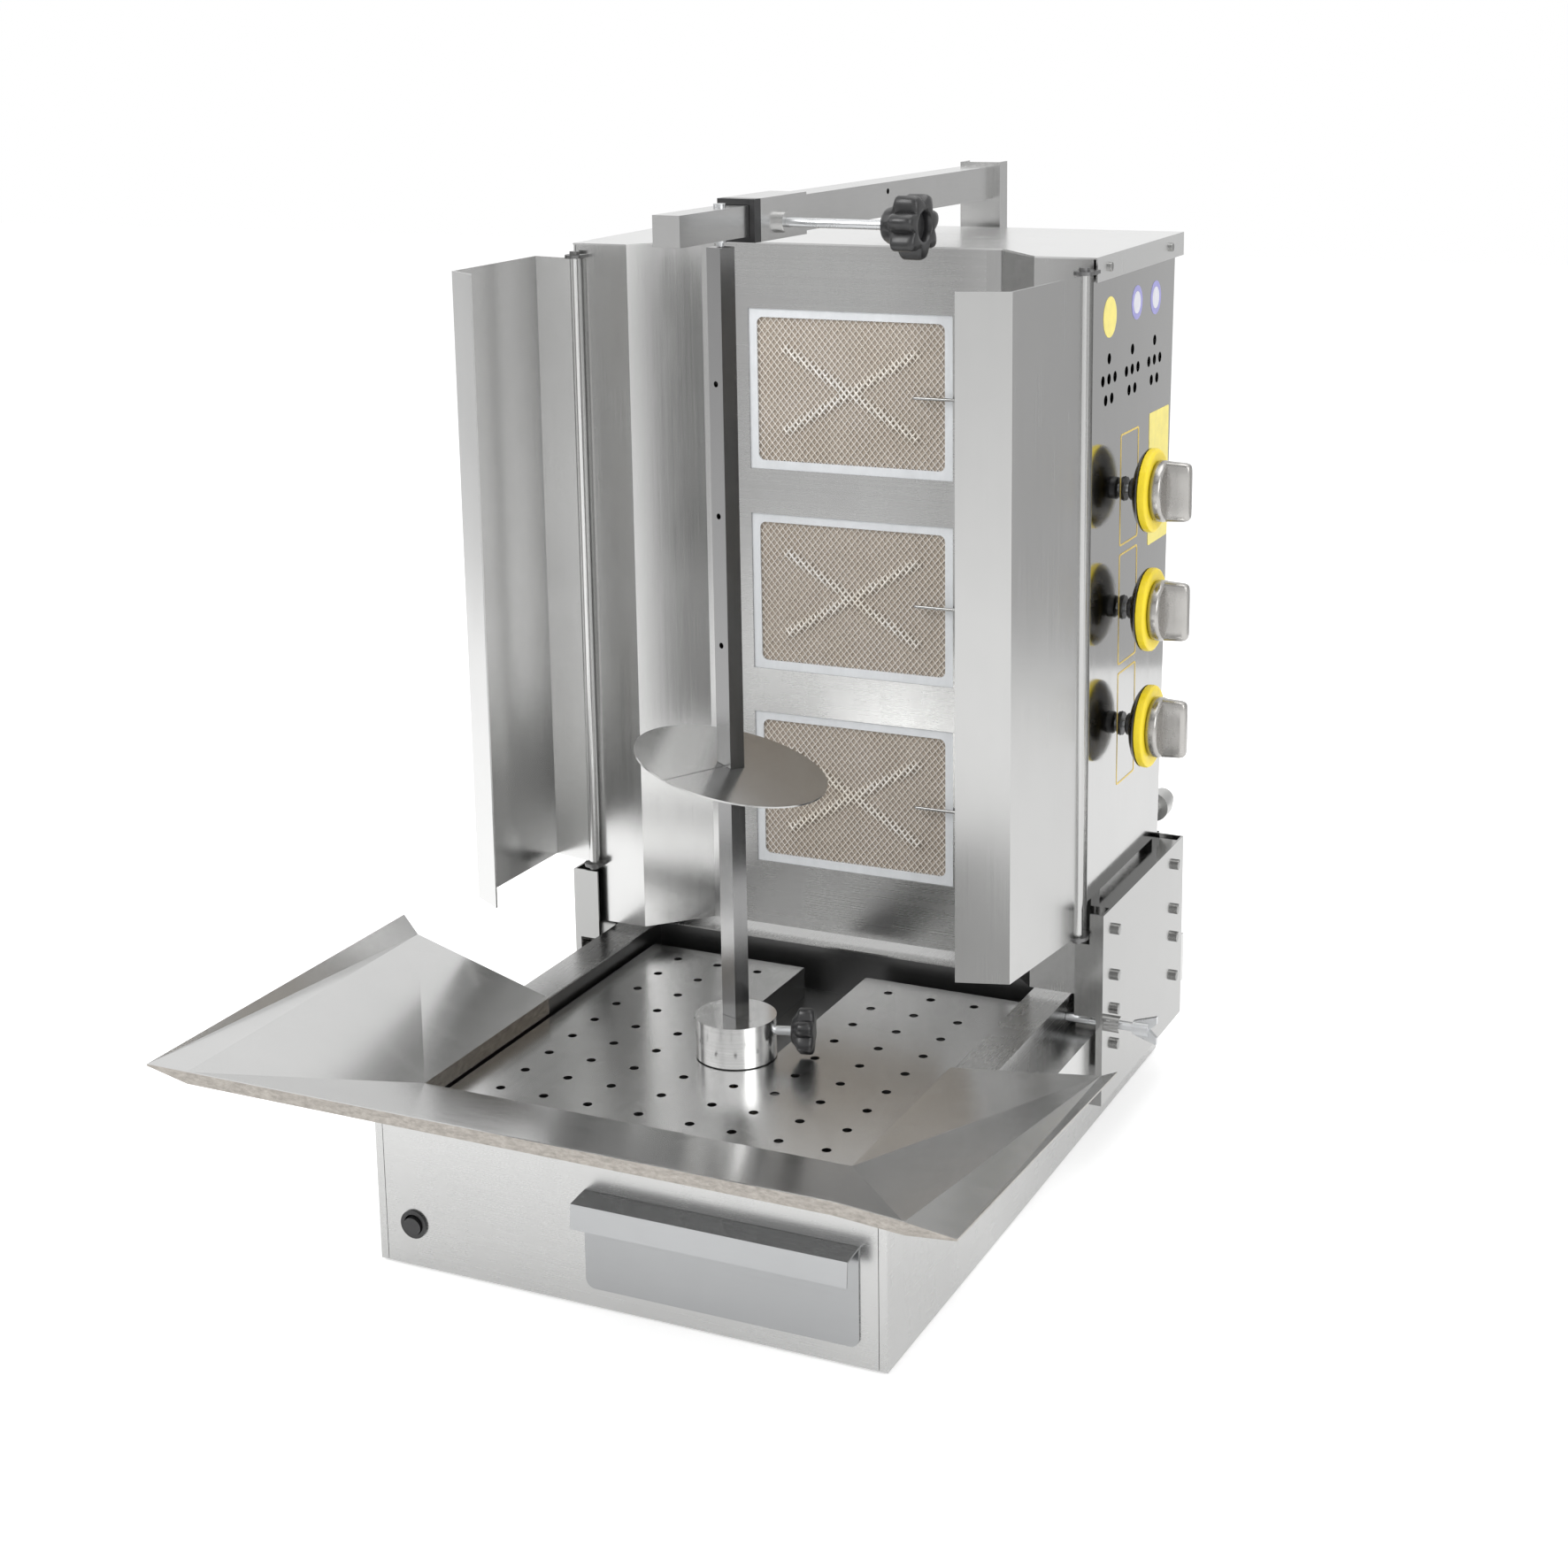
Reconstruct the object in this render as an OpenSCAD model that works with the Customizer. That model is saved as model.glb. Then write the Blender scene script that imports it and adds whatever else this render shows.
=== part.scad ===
// Vertical meat grill: a sheet steel base with a turning spit, a burner housing that slides on side
// rails, two hinged wind doors, a lift-off catch tray, a drawer and a telescopic top arm.
// Right is +X, back is +Y and up is +Z. The origin is on the ground below the middle of the whole grill.
// Inside from_axis(), places are given from the axis of the spit.

/* [Base] */
// Width of the base
base_width = 460; // [452:2:476]
// Distance from the front of the tray's opening to the front of the base
front_margin = 19; // [14:1:28]
// Distance from the foot of the housing's back panel to the back of the base
back_margin = 65; // [60:1:85]
// Height of the deck above the top of the drawer's front
deck_rise = 53.5; // [50.5:0.5:56.5]
// Thickness of the sheet steel
gauge = 1.5; // [1.2:0.1:1.8]

/* [Catch tray] */
// Width of the deck at each side of the tray's opening
opening_margin = 36; // [34:1:38]
// Distance from the spit axis to the front of the opening
opening_front = 193; // [190:1:196]
// Distance from the spit axis to the back edge of the tray
tray_back = 11; // [0:1:20]
// How far the tray stands out beyond each side of the base
tray_overhang = 113; // [100:1:120]
// Distance from the spit axis to the front rim
tray_front = 356; // [340:2:370]
// Height of the front rim above the deck
rim_rise = 58; // [51:1:60]

/* [Perforated plate] */
// Depth of the upper face of the plate below the deck
plate_drop = 15; // [13:1:17]
// Diameter of a drain hole
drain_hole = 8; // [5:0.5:10]
// Spacing of the rows of drain holes
row_pitch = 40.2; // [36:0.2:41]

/* [Drawer] */
// Width of the drawer's front panel
drawer_width = 239; // [220:1:242]
// Height of the drawer's front panel
drawer_height = 83; // [78:1:86]
// Depth of the drawer's pan
drawer_depth = 148; // [120:2:150]

/* [Spit] */
// Side of the square spit tube
spit_side = 16; // [14:0.5:17]
// Height of the top of the spit above the lid
spit_rise = 21; // [18:0.5:22]
// Diameter of the hub
hub_diameter = 70; // [64:1:74]
// Height of the hub
hub_height = 36; // [34:1:40]
// Diameter of the meat disc
disc_diameter = 166; // [140:2:170]
// Height of the middle of the meat disc above the hub
disc_rise = 222; // [203:1:243]
// Lean of the meat disc on the spit, in degrees
disc_lean = 13.5; // [5:0.5:15]

/* [Burner housing] */
// How far each side panel stands out beyond the base
housing_overhang = 17; // [16:0.5:18]
// Distance from the spit axis to the front of the housing
housing_front = 198; // [194:1:202]
// Depth of the housing at its foot
housing_depth = 207; // [202:1:212]
// How far the back panel leans out at the top
back_lean = 25; // [10:1:28]
// Height of the underside of the housing above the deck
housing_rise = 92; // [90:1:95]
// Height of the lid above the middle of the highest burner
lid_rise = 134; // [131:1:136]
// Distance from the front of the housing back to the burner wall
burner_inset = 54; // [50:1:58]
// Width of a burner's window
window_width = 184; // [170:2:188]
// Height of a burner's window
window_height = 132; // [124:2:136]
// Height of the middle of the lowest burner above the housing's underside
burner_rise = 50; // [47:1:53]
// Spacing of the burners
burner_pitch = 190; // [186:1:194]

/* [Gas knobs] */
// Spacing of the gas knobs
knob_pitch = 107; // [100:1:112]
// Height of the lowest knob above the middle of the lowest burner
knob_rise = 89; // [79:1:99]
// Distance from the burner wall back to the knobs
knob_inset = 38; // [32:1:44]
// Diameter of the knob's skirt
skirt_diameter = 75; // [64:1:80]
// Diameter of the knob's grip
grip_diameter = 54; // [46:1:58]

/* [Doors] */
// Length of the right door's main leaf
right_leaf = 132; // [120:1:134]
// Length of the bent free edge of the right door
right_edge = 45; // [30:1:48]
// Length of the left door's main leaf
left_leaf = 138; // [124:1:140]
// Length of the bent free edge of the left door
left_edge = 36; // [24:1:40]
// Length of the left door between its hinge and its main leaf
left_flange = 48; // [46:1:50]

/* [Top arm] */
// Height of the middle of the arm above the top of the spit
arm_rise = 19; // [18:0.5:21]
// Side of the square sliding tube
slider_side = 25; // [22:0.5:25]
// Angle of the arm from straight back, in degrees
arm_angle = 4.8; // [4:0.1:5.2]
// Diameter of the clamping star knob
star_diameter = 54; // [44:1:56]

/* [Hidden] */
$fn = 64;

// How far a cut runs past the face it starts from
over = 1;
// Gap between pieces that slide or swing past each other
gap = 0.3;
// Radial gap round a turning pin
pin_gap = 0.08;

// How far the feet hold the base off the ground
foot_height = 2;
foot_diameter = 25;
foot_inset = 22;
// Width of the side sheet that returns round each front corner
corner_return = 7;
seam = 0.5;
// Free space round the tray's skirt in the opening of the deck
skirt_room = 1;
// Distance from the spit axis to the back of the well
well_back = 230;
// Depth of the floor of the well below the deck
well_depth = 45;

// Space between the plate and the opening of the tray at each side, in front and behind
plate_side_room = 4;
plate_front_room = 3;
plate_back_room = 23;
slot_width = 63;
// Distance from the spit axis to the first row of drain holes
first_row = 141.5;
row_count = 9;
short_row_count = 3;
// Places of the columns of drain holes as shares of half the plate's width
column_shares = [-0.793, -0.574, -0.354, -0.104, 0.143, 0.343, 0.562, 0.782];
short_columns = [3, 4];
drain_diameter = 30;

// Distance from the drawer's front panel to the right side of the base
drawer_margin = 23;
drawer_bottom = 18.5;
drawer_corner = 8;
// How far the pan stands in from the ends of the front panel
pan_inset = 12;
pan_bottom = 24;
// How much lower the pan is than the front panel
pan_drop = 23;
handle_reach = 22;
handle_drop = 20;
handle_slope = 2;
runner_ledge = 12;
pan_room = 1;

// Distance from the switch to the left side of the base
switch_inset = 34.4;
switch_height = 39.4;
bezel_diameter = 24.6;
bezel_thickness = 2;
switch_barrel = 22;
switch_depth = 20;
pocket_diameter = 17.8;
pocket_depth = 8;
rocker_diameter = 15.8;
rocker_thickness = 8;
rocker_proud = 4;
rocker_pin = 2.4;
// How far the ends of the pin stay inside the barrel of the switch
rocker_pin_inset = 1;
// Distance of the rocker's pivot behind the front of the base
rocker_pivot = 2.5;
rocker_tilt = 7;

shaft_diameter = 20;
// How far the shaft reaches down into the gear box
shaft_reach = 28;
// How far the shaft enters the hub
shaft_seat = 10;
ring_diameter = 62;
ring_height = 9;
hub_lift = 1;
// Turn of the square tube about its own axis, in degrees
spit_turn = -20;
spit_wall = 1.5;
spit_seat = 26;
cap_height = 3;
skewer_hole = 5;
// Height of the lowest hole in the spit above the hub and the spacing of the holes
skewer_rise = 327;
skewer_pitch = 109;
skewer_count = 3;
// Direction of the lean of the disc and of its slit, in degrees from right
lean_direction = 5.6;
slit_direction = -105;
slit_width = 2;

clamp_direction = 18;
// Height of the clamp screw above the underside of the hub
clamp_height = 22.5;
clamp_screw_diameter = 8;
clamp_reach = 56;
clamp_knob_diameter = 42;
clamp_knob_length = 20;
clamp_knob_start = 48;
clamp_lobes = 6;
lobe_share = 0.12;

motor_width = 76;
motor_front = 40;
motor_back = 62;
motor_bottom = 7.5;
// Depth of the top of the gear box below the floor of the well
motor_drop = 22;
motor_can_diameter = 64;
motor_can_length = 95;
motor_foot_width = 110;
motor_foot_back = 90;
shaft_housing_diameter = 40;
shaft_housing_height = 10;
bearing_flange_diameter = 46;
bearing_flange_height = 3;
bearing_body_diameter = 34;
bearing_body_depth = 8;

rail_width = 27;
rail_height = 48;
// Depth of the rail's underside below the deck
rail_drop = 75;
rail_front = 60;
rail_end = 4;
rail_wall = 2;

post_width = 40;
post_depth = 20;
post_middle = 42;
// Height of the top of the post above the middle of the arm
post_rise = 19;
post_bottom = 30;
post_wall = 2;

tube_side = 30;
tube_wall = 2;
collar_side = 35;
collar_front = 35;
collar_back = 110;
liner_front = 25;
// Small hole in the right side of the arm, by its place along the arm and above its middle
arm_hole = 5;
arm_hole_back = 260;
arm_hole_rise = 7;
slider_front = 80;
slider_back = 250;
slider_wall = 2;
arm_pin_diameter = 6;
arm_pin_head = 10;
arm_pin_head_height = 3;
// Gap between the centring pin and the top of the spit
arm_pin_gap = 0.4;
// Place of the clamping screw along the arm and below its middle
star_back = 68;
star_drop = 4;
star_screw_diameter = 8;
star_nut_diameter = 18;
star_nut_length = 6;
star_start = 115;
star_length = 35;
star_lobes = 7;
star_recess_diameter = 24;
star_recess_depth = 8;

screw_diameter = 5;
screw_head = 9;
screw_head_height = 3;
screw_length = 8;
// Heights of the post's screws as shares of the height of the deck
post_screw_shares = [0.4, 0.78];
post_screw_spread = 20;

gland_left = 150;
gland_height = 60;
gland_diameter = 18;
gland_bore = 7;
gland_length = 12;
gland_inside = 5;

// Depth of the tray's skirt inside the opening of the deck
skirt_depth = 15;
hem_height = 10;
// Width of the raised lip, at its front and at its back
lip_front = 39;
lip_back = 14;
crease_width = 93;
// Rise of the raised lip at its back, on the left wing and on the right wing
left_lip_rise = 17;
right_lip_rise = 6;
// How much lower the right wing lies than the left one
right_crease_drop = 4;
right_front_drop = 9;
right_back_drop = 36;
right_back_inset = 6;
back_rise = 1;

// Places of the screws in the side of the lid as shares of the depth of the housing
lid_screw_shares = [0.1594, 1];
lid_screw = 4;
lid_screw_drop = 10.5;
lid_screw_head = 8;
lid_screw_head_height = 2;
// Height of the wings' lower edge above the deck
wing_rise = 5;
wing_front_width = 52;
// Distance from the edge of a burner's frame to the inner bend of a wing
wing_margin = 46;
wing_lap = 14;
lid_overhang = 3;
lid_flange = 21;
lid_reach = 16;
// How far the burner wall runs behind each wing
fascia_lap = 4;
// Width of a burner's frame beyond the opening in the wall
frame_overlap = 2;
frame_margin = 8;
frame_corner = 6;
screen_thickness = 1;
screen_margin = 2;
tile_thickness = 13;
plenum_depth = 38;
box_wall = 8;
venturi_diameter = 28;
// Distance from the side panel's outer face to the end of a burner's throat
venturi_inset = 51;
venturi_wall = 3;
net_columns = 12;
net_rows = 8;
net_share = 0.8;
// Distance of the igniter's root outside its burner's frame and the length of its rod
igniter_margin = 25;
igniter_length = 61;
igniter_rod = 3;
igniter_forward = 5;
insulator_diameter = 8;
insulator_front = 3;
insulator_back = 22;

// Distance from the side panel's outer face to the inner face of the gas pipe and to the valves
manifold_inset = 23;
valve_inset = 7;
manifold_side = 18;
// Distance from the knobs' axis back to the gas pipe
manifold_gap = 13;
manifold_rise = 5;
manifold_reach = 30;
valve_depth = 29;
valve_height = 32;
bonnet_diameter = 21;
bonnet_length = 9;
stem_diameter = 8;
stem_seat = 12;
// How far the stem, the sleeve and the skirt of a knob start or end outside the side panel
stem_out = 39;
feed_diameter = 8;
inlet_height = 13;
inlet_pipe = 14;
inlet_nut = 28;
inlet_nut_length = 16;
inlet_nut_gap = 33;
thread_diameter = 21;
thread_length = 15;
knob_travel = 3;
knob_sleeve_diameter = 20;
knob_sleeve_out = 5.5;
skirt_out = 20;
skirt_thickness = 10;
grip_disc = 10;
grip_bar_width = 16;
grip_bar_height = 20;
grip_hole = 22;

vent_diameter = 9.5;
// Places of the vent groups as shares of the depth of the housing
vent_shares = [0.2126, 0.5242, 0.8357];
vent_drop = 90;
vent_step = 17.5;
vent_spread = 16.4;

hinge_inset = 3;
// How far the hinges' axes stand in front of the housing
hinge_reach = 15;
left_hinge_reach = 8;
hinge_pin = 6;
barrel_diameter = 9;
door_drop = 26;
door_top_drop = 13;
hinge_plate = 3;
hinge_plate_width = 18;
hinge_head_diameter = 9;
hinge_head_height = 3;
// Headings of the parts of the doors, in degrees from straight ahead
right_leaf_heading = -6.5;
right_edge_heading = -73;
left_flange_heading = 102;
left_leaf_heading = 1;
left_edge_heading = -57.6;

// Distance from the rail to the bracket's outer face and the width of its flanges
bracket_gap = 9;
bracket_flange = 26;
bracket_reach = 10;
bracket_back_reach = 23;
bracket_drop = 18;
// Depth of the bracket's top below the housing
bracket_top_drop = 7;
bracket_thickness = 2;
// Free space round the rail in the front and back flanges of a bracket
notch_above = 16;
notch_beside = 3;
notch_below = 5;
// Width of the hook below the rail
hook_width = 14;
// Free space for the door hinges in the top corner of a bracket
hinge_relief_width = 13.5;
hinge_relief_height = 28;
door_relief_depth = 24;
leg_out = 4;
leg_width = 24;
// Distances of the middles of the legs from the bracket's front and back
leg_front_inset = 34;
leg_back_inset = 27;
pad_height = 3.7;
side_pad_length = 16;
side_pad_height = 40;
bolt_diameter = 6;
bolt_head = 10;
bolt_head_height = 4;
// Heights of the front and back bolts as shares of the height of the bracket's top
front_bolt_shares = [0.454, 0.592, 0.725, 0.904];
back_bolt_shares = [0.454, 0.617, 0.733, 0.917];
lock_inset = 9;
lock_rise = 10;
lock_diameter = 8;
lock_nut = 15;
lock_nut_length = 14;
lock_reach = 47;
lock_hub = 13;
lock_hub_length = 20;
lock_wing_height = 26;
lock_wing_thickness = 4;
// Part of the hub's length that the wings stand clear of, as a share
lock_notch_share = 0.33;

half_base = base_width / 2;
half_opening = half_base - opening_margin;
half_tray = half_base + tray_overhang;
half_housing = half_base + housing_overhang;
base_front = opening_front + front_margin;
base_height = drawer_bottom + drawer_height + deck_rise;
pan_height = drawer_height - pan_drop;
plate_top = base_height - plate_drop;
plate_width = 2 * (half_opening - plate_side_room);
plate_front = opening_front - plate_front_room;
plate_back = well_back - plate_back_room;
well_floor = base_height - well_depth;
rim_height = base_height + rim_rise;
hub_bottom = plate_top + hub_lift;
hub_top = hub_bottom + hub_height;
clamp_level = hub_bottom + clamp_height;
spit_bottom = hub_top - spit_seat;
disc_middle = hub_top + disc_rise;
skewer_low = hub_top + skewer_rise;
motor_top = well_floor - motor_drop;
shaft_bottom = motor_top - shaft_reach;
rail_bottom = base_height - rail_drop;
rail_out = half_base + rail_width;
rail_top = rail_bottom + rail_height;
// Height of the inner edge of the tray's upper face
tray_inner = base_height + gap + gauge;

housing_back = housing_front + housing_depth;
housing_bottom = base_height + housing_rise;
base_back = housing_back + back_margin;
post_back = base_back + post_depth;
// Distance of the spit axis in front of the middle of the whole grill
axis_front = (post_back - tray_front) / 2;
burner_wall = housing_front + burner_inset;
burner_low = housing_bottom + burner_rise;
burner_levels = [for (i = [0:2]) burner_low + i * burner_pitch];
knob_low = burner_low + knob_rise;
knob_back = burner_wall + knob_inset;
knob_levels = [for (i = [0:2]) knob_low + i * knob_pitch];
lid_top = burner_levels[2] + lid_rise;
lid_back = housing_back + back_lean + lid_reach;
lid_screw_height = lid_top - lid_screw_drop;
lid_screws = [for (share = lid_screw_shares) housing_front + share * housing_depth];
spit_top = lid_top + spit_rise;
arm_middle = spit_top + arm_rise;
slider_bottom = arm_middle - slider_side / 2;
slider_top = arm_middle + slider_side / 2;
post_top = arm_middle + post_rise;

drawer_middle = half_base - drawer_margin - drawer_width / 2;
pan_left = drawer_middle - drawer_width / 2 + pan_inset;
pan_right = drawer_middle + drawer_width / 2 - pan_inset;
switch_left = half_base - switch_inset;
frame_width = window_width + 2 * frame_margin;
frame_height = window_height + 2 * frame_margin;
frame_front = burner_wall + gauge;
frame_back = frame_front + gauge;
tile_front = frame_back + screen_thickness;
tile_back = tile_front + tile_thickness;
// Size of the pocket that holds a burner's screen and tile
pocket_width = window_width + 2 * screen_margin;
pocket_height = window_height + 2 * screen_margin;
wing_bottom = base_height + wing_rise;
wing_bend = half_housing - wing_front_width;
wing_inner_bend = frame_width / 2 + wing_margin;
wing_inner_edge = wing_inner_bend - wing_lap;
fascia_half = wing_inner_bend + fascia_lap;
igniter_root = frame_width / 2 + igniter_margin;
igniter_end = igniter_root - igniter_length;
venturi_end = half_housing - venturi_inset;

manifold_left = half_housing - manifold_inset;
manifold_front = knob_back + manifold_gap;
manifold_bottom = housing_bottom + manifold_rise;
manifold_top = knob_levels[2] + manifold_reach;
valve_right = half_housing - valve_inset;
stem_end = half_housing + stem_out;
knob_sleeve_start = half_housing + knob_sleeve_out;
skirt_start = half_housing + skirt_out;
vent_groups = [for (share = vent_shares) housing_front + share * housing_depth];
vent_top = lid_top - vent_drop;
hinge_out = half_housing - hinge_inset;
hinge_front = housing_front - hinge_reach;
left_hinge_front = housing_front - left_hinge_reach;
door_bottom = housing_bottom - door_drop;
door_top = lid_top - door_top_drop;
bracket_out = rail_out + bracket_gap;
bracket_in = bracket_out - bracket_flange;
bracket_front = housing_front - bracket_reach;
bracket_back = housing_back + bracket_back_reach;
bracket_bottom = rail_bottom - bracket_drop;
bracket_top = housing_bottom - bracket_top_drop;
leg_in = half_base + leg_out;
leg_front = bracket_front + leg_front_inset;
leg_back = bracket_back - leg_back_inset;
lock_back = bracket_front + lock_inset;
lock_height = rail_top + lock_rise;

// Offset of a bent sheet's corner from its middle line, square to both legs
function side_of(a, b) = [a[1] - b[1], b[0] - a[0]] / norm(b - a);
function mitre(path, i) =
    let (last = len(path) - 1)
    let (before = i == 0 ? side_of(path[0], path[1]) : side_of(path[i - 1], path[i]))
    let (after = i == last ? before : side_of(path[i], path[i + 1]))
    (before + after) / (1 + before * after);

// Outline of a sheet bent along a path
function bent(path, thickness) = concat(
    [for (i = [0:len(path) - 1]) path[i] + mitre(path, i) * thickness / 2],
    [for (i = [len(path) - 1:-1:0]) path[i] - mitre(path, i) * thickness / 2]
);

// Step of a given length from a point, at a heading from straight ahead towards one side
function step(from, length, heading, side) =
    from + length * [side * sin(heading), -cos(heading)];

module from_axis() {
    translate([0, -axis_front, 0]) children();
}

module sided(side) {
    mirror([side < 0 ? 1 : 0, 0, 0]) children();
}

module block(low, high) {
    translate(low) cube(high - low);
}

module bent_sheet(path, thickness, bottom, top) {
    translate([0, 0, bottom]) linear_extrude(top - bottom) polygon(bent(path, thickness));
}

// Sheet bent in a plane square to X, given by places back and up
module cross_sheet(path, thickness, left, right) {
    translate([left, 0, 0]) rotate([90, 0, 90]) linear_extrude(right - left)
        polygon(bent(path, thickness));
}

module rod_x(diameter, from, to) {
    translate(from) rotate([0, 90, 0]) cylinder(d = diameter, h = to - from[0]);
}

module rod_y(diameter, from, to) {
    translate(from) rotate([-90, 0, 0]) cylinder(d = diameter, h = to - from[1]);
}

module rod_z(diameter, from, to) {
    translate(from) cylinder(d = diameter, h = to - from[2]);
}

module along_arm() {
    rotate([0, 0, -arm_angle]) translate([0, 0, arm_middle]) children();
}

// Square tube along Y in the arm's own frame
module square_tube(side, wall, front, back) {
    difference() {
        block([-side / 2, front, -side / 2], [side / 2, back, side / 2]);
        block([wall - side / 2, front - over, wall - side / 2],
            [side / 2 - wall, back + over, side / 2 - wall]);
    }
}

// Lobed knob along X
module lobed_knob(diameter, length, lobes) {
    lobe = diameter * lobe_share;
    rotate([0, 90, 0]) linear_extrude(length) union() {
        circle(d = diameter - 2 * lobe);
        for (i = [0:lobes - 1])
            rotate(i * 360 / lobes) translate([diameter / 2 - lobe, 0]) circle(r = lobe);
    }
}

module base_walls() {
    color("silver") from_axis() difference() {
        bent_sheet([
            [-half_base + corner_return, -base_front + gauge / 2],
            [-half_base + gauge / 2, -base_front + gauge / 2],
            [-half_base + gauge / 2, base_back - gauge / 2],
            [half_base - gauge / 2, base_back - gauge / 2],
            [half_base - gauge / 2, -base_front + gauge / 2],
            [half_base - corner_return, -base_front + gauge / 2]
        ], gauge, foot_height, base_height - gauge);
        post_screw_holes();
        rod_y(gland_diameter - 2 * gauge, [-gland_left, base_back - gauge - over, gland_height],
            base_back + over);
    }
}

module post_screw_holes() {
    for (share = post_screw_shares, side = [-1, 1])
        rod_y(screw_diameter, [post_middle + side * post_screw_spread / 2,
            base_back - gauge - over, share * base_height], base_back + post_wall + over);
}

module base_front() {
    color("silver") from_axis() difference() {
        block([-half_base + corner_return + seam, -base_front, foot_height],
            [half_base - corner_return - seam, -base_front + gauge, base_height - gauge]);
        block([pan_left - pan_room, -base_front - over, pan_bottom - pan_room],
            [pan_right + pan_room, -base_front + gauge + over, pan_bottom + pan_height + pan_room]);
        rod_y(switch_barrel, [-switch_left, -base_front - over, switch_height],
            -base_front + gauge + over);
    }
}

module base_floor() {
    color("darkgray") from_axis() block(
        [-half_base + gauge, -base_front + gauge, foot_height],
        [half_base - gauge, base_back - gauge, foot_height + gauge]);
}

module deck() {
    color("silver") from_axis() difference() {
        block([-half_base, -base_front, base_height - gauge], [half_base, base_back, base_height]);
        block([-half_opening - skirt_room, -opening_front - skirt_room, base_height - gauge - over],
            [half_opening + skirt_room, well_back, base_height + over]);
    }
}

module feet() {
    color("black") from_axis() for (x = [-half_base + foot_inset, half_base - foot_inset],
            y = [-base_front + foot_inset, base_back - foot_inset])
        rod_z(foot_diameter, [x, y, 0], foot_height);
}

module well_pan() {
    inside = half_opening + skirt_room;
    color("gray") from_axis() difference() {
        block([-inside - gauge, -opening_front - skirt_room - gauge, well_floor - gauge],
            [inside + gauge, well_back + gauge, base_height - gauge]);
        block([-inside, -opening_front - skirt_room, well_floor],
            [inside, well_back, base_height + over]);
        rod_z(bearing_body_diameter, [0, 0, well_floor - gauge - over], well_floor + over);
        rod_z(drain_diameter, [drawer_middle, -base_front + drawer_depth / 2,
            well_floor - gauge - over], well_floor + over);
    }
}

module perforated_plate() {
    bottom = well_floor;
    color("lightgray") from_axis() difference() {
        union() {
            block([-plate_width / 2, -plate_front, plate_top - gauge],
                [plate_width / 2, plate_back, plate_top]);
            for (side = [-1, 1]) sided(side) {
                block([plate_width / 2 - gauge, -plate_front, bottom],
                    [plate_width / 2, plate_back, plate_top]);
                block([slot_width / 2, ring_diameter / 2, bottom],
                    [slot_width / 2 + gauge, plate_back, plate_top]);
            }
        }
        block([-slot_width / 2, 0, bottom - over], [slot_width / 2, plate_back + over, plate_top + over]);
        rod_z(slot_width, [0, 0, bottom - over], plate_top + over);
        for (i = [0:len(column_shares) - 1]) {
            short = len(search(i, short_columns)) > 0;
            for (k = [0:(short ? short_row_count : row_count) - 1])
                rod_z(drain_hole, [column_shares[i] * plate_width / 2, -first_row + k * row_pitch,
                    plate_top - gauge - over], plate_top + over);
        }
    }
}

module drawer_runners() {
    color("gray") from_axis() for (side = [-1, 1]) {
        edge = side < 0 ? pan_left : pan_right;
        floor_top = foot_height + gauge;
        ledge = pan_bottom - gap;
        block([min(edge, edge + side * gauge * 2), -base_front + gauge, floor_top],
            [max(edge, edge + side * gauge * 2), -base_front + drawer_depth, ledge]);
        block([min(edge, edge - side * runner_ledge), -base_front + gauge, ledge - gauge],
            [max(edge, edge - side * runner_ledge), -base_front + drawer_depth, ledge]);
    }
}

module gear_motor() {
    middle = (motor_bottom + motor_top) / 2;
    color("dimgray") from_axis() difference() {
        union() {
            block([-motor_foot_width / 2, -motor_front, foot_height + gauge],
                [motor_foot_width / 2, motor_foot_back, motor_bottom]);
            block([-motor_width / 2, -motor_front, motor_bottom], [motor_width / 2, motor_back, motor_top]);
            rod_y(motor_can_diameter, [0, motor_back, middle], motor_back + motor_can_length);
            rod_z(shaft_housing_diameter, [0, 0, motor_top], motor_top + shaft_housing_height);
        }
        rod_z(shaft_diameter + 2 * pin_gap, [0, 0, shaft_bottom - over],
            motor_top + shaft_housing_height + over);
    }
}

module hub_bearing() {
    color("goldenrod") from_axis() difference() {
        union() {
            rod_z(bearing_body_diameter, [0, 0, well_floor - bearing_body_depth], well_floor);
            rod_z(bearing_flange_diameter, [0, 0, well_floor], well_floor + bearing_flange_height);
        }
        rod_z(shaft_diameter + 2 * pin_gap, [0, 0, well_floor - bearing_body_depth - over],
            well_floor + bearing_flange_height + over);
    }
}

module side_rails() {
    color("lightgray") from_axis() for (side = [-1, 1]) sided(side) difference() {
        block([half_base, rail_front, rail_bottom], [rail_out, base_back - rail_end, rail_top]);
        block([half_base + rail_wall, rail_front - over, rail_bottom + rail_wall],
            [rail_out - rail_wall, base_back - rail_end + over, rail_top - rail_wall]);
    }
}

module rear_post() {
    left = post_middle - post_width / 2;
    right = post_middle + post_width / 2;
    color("silver") from_axis() difference() {
        bent_sheet([
            [left + post_wall / 2, post_back],
            [left + post_wall / 2, base_back + post_wall / 2],
            [right - post_wall / 2, base_back + post_wall / 2],
            [right - post_wall / 2, post_back]
        ], post_wall, post_bottom, post_top);
        post_screw_holes();
    }
}

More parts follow.
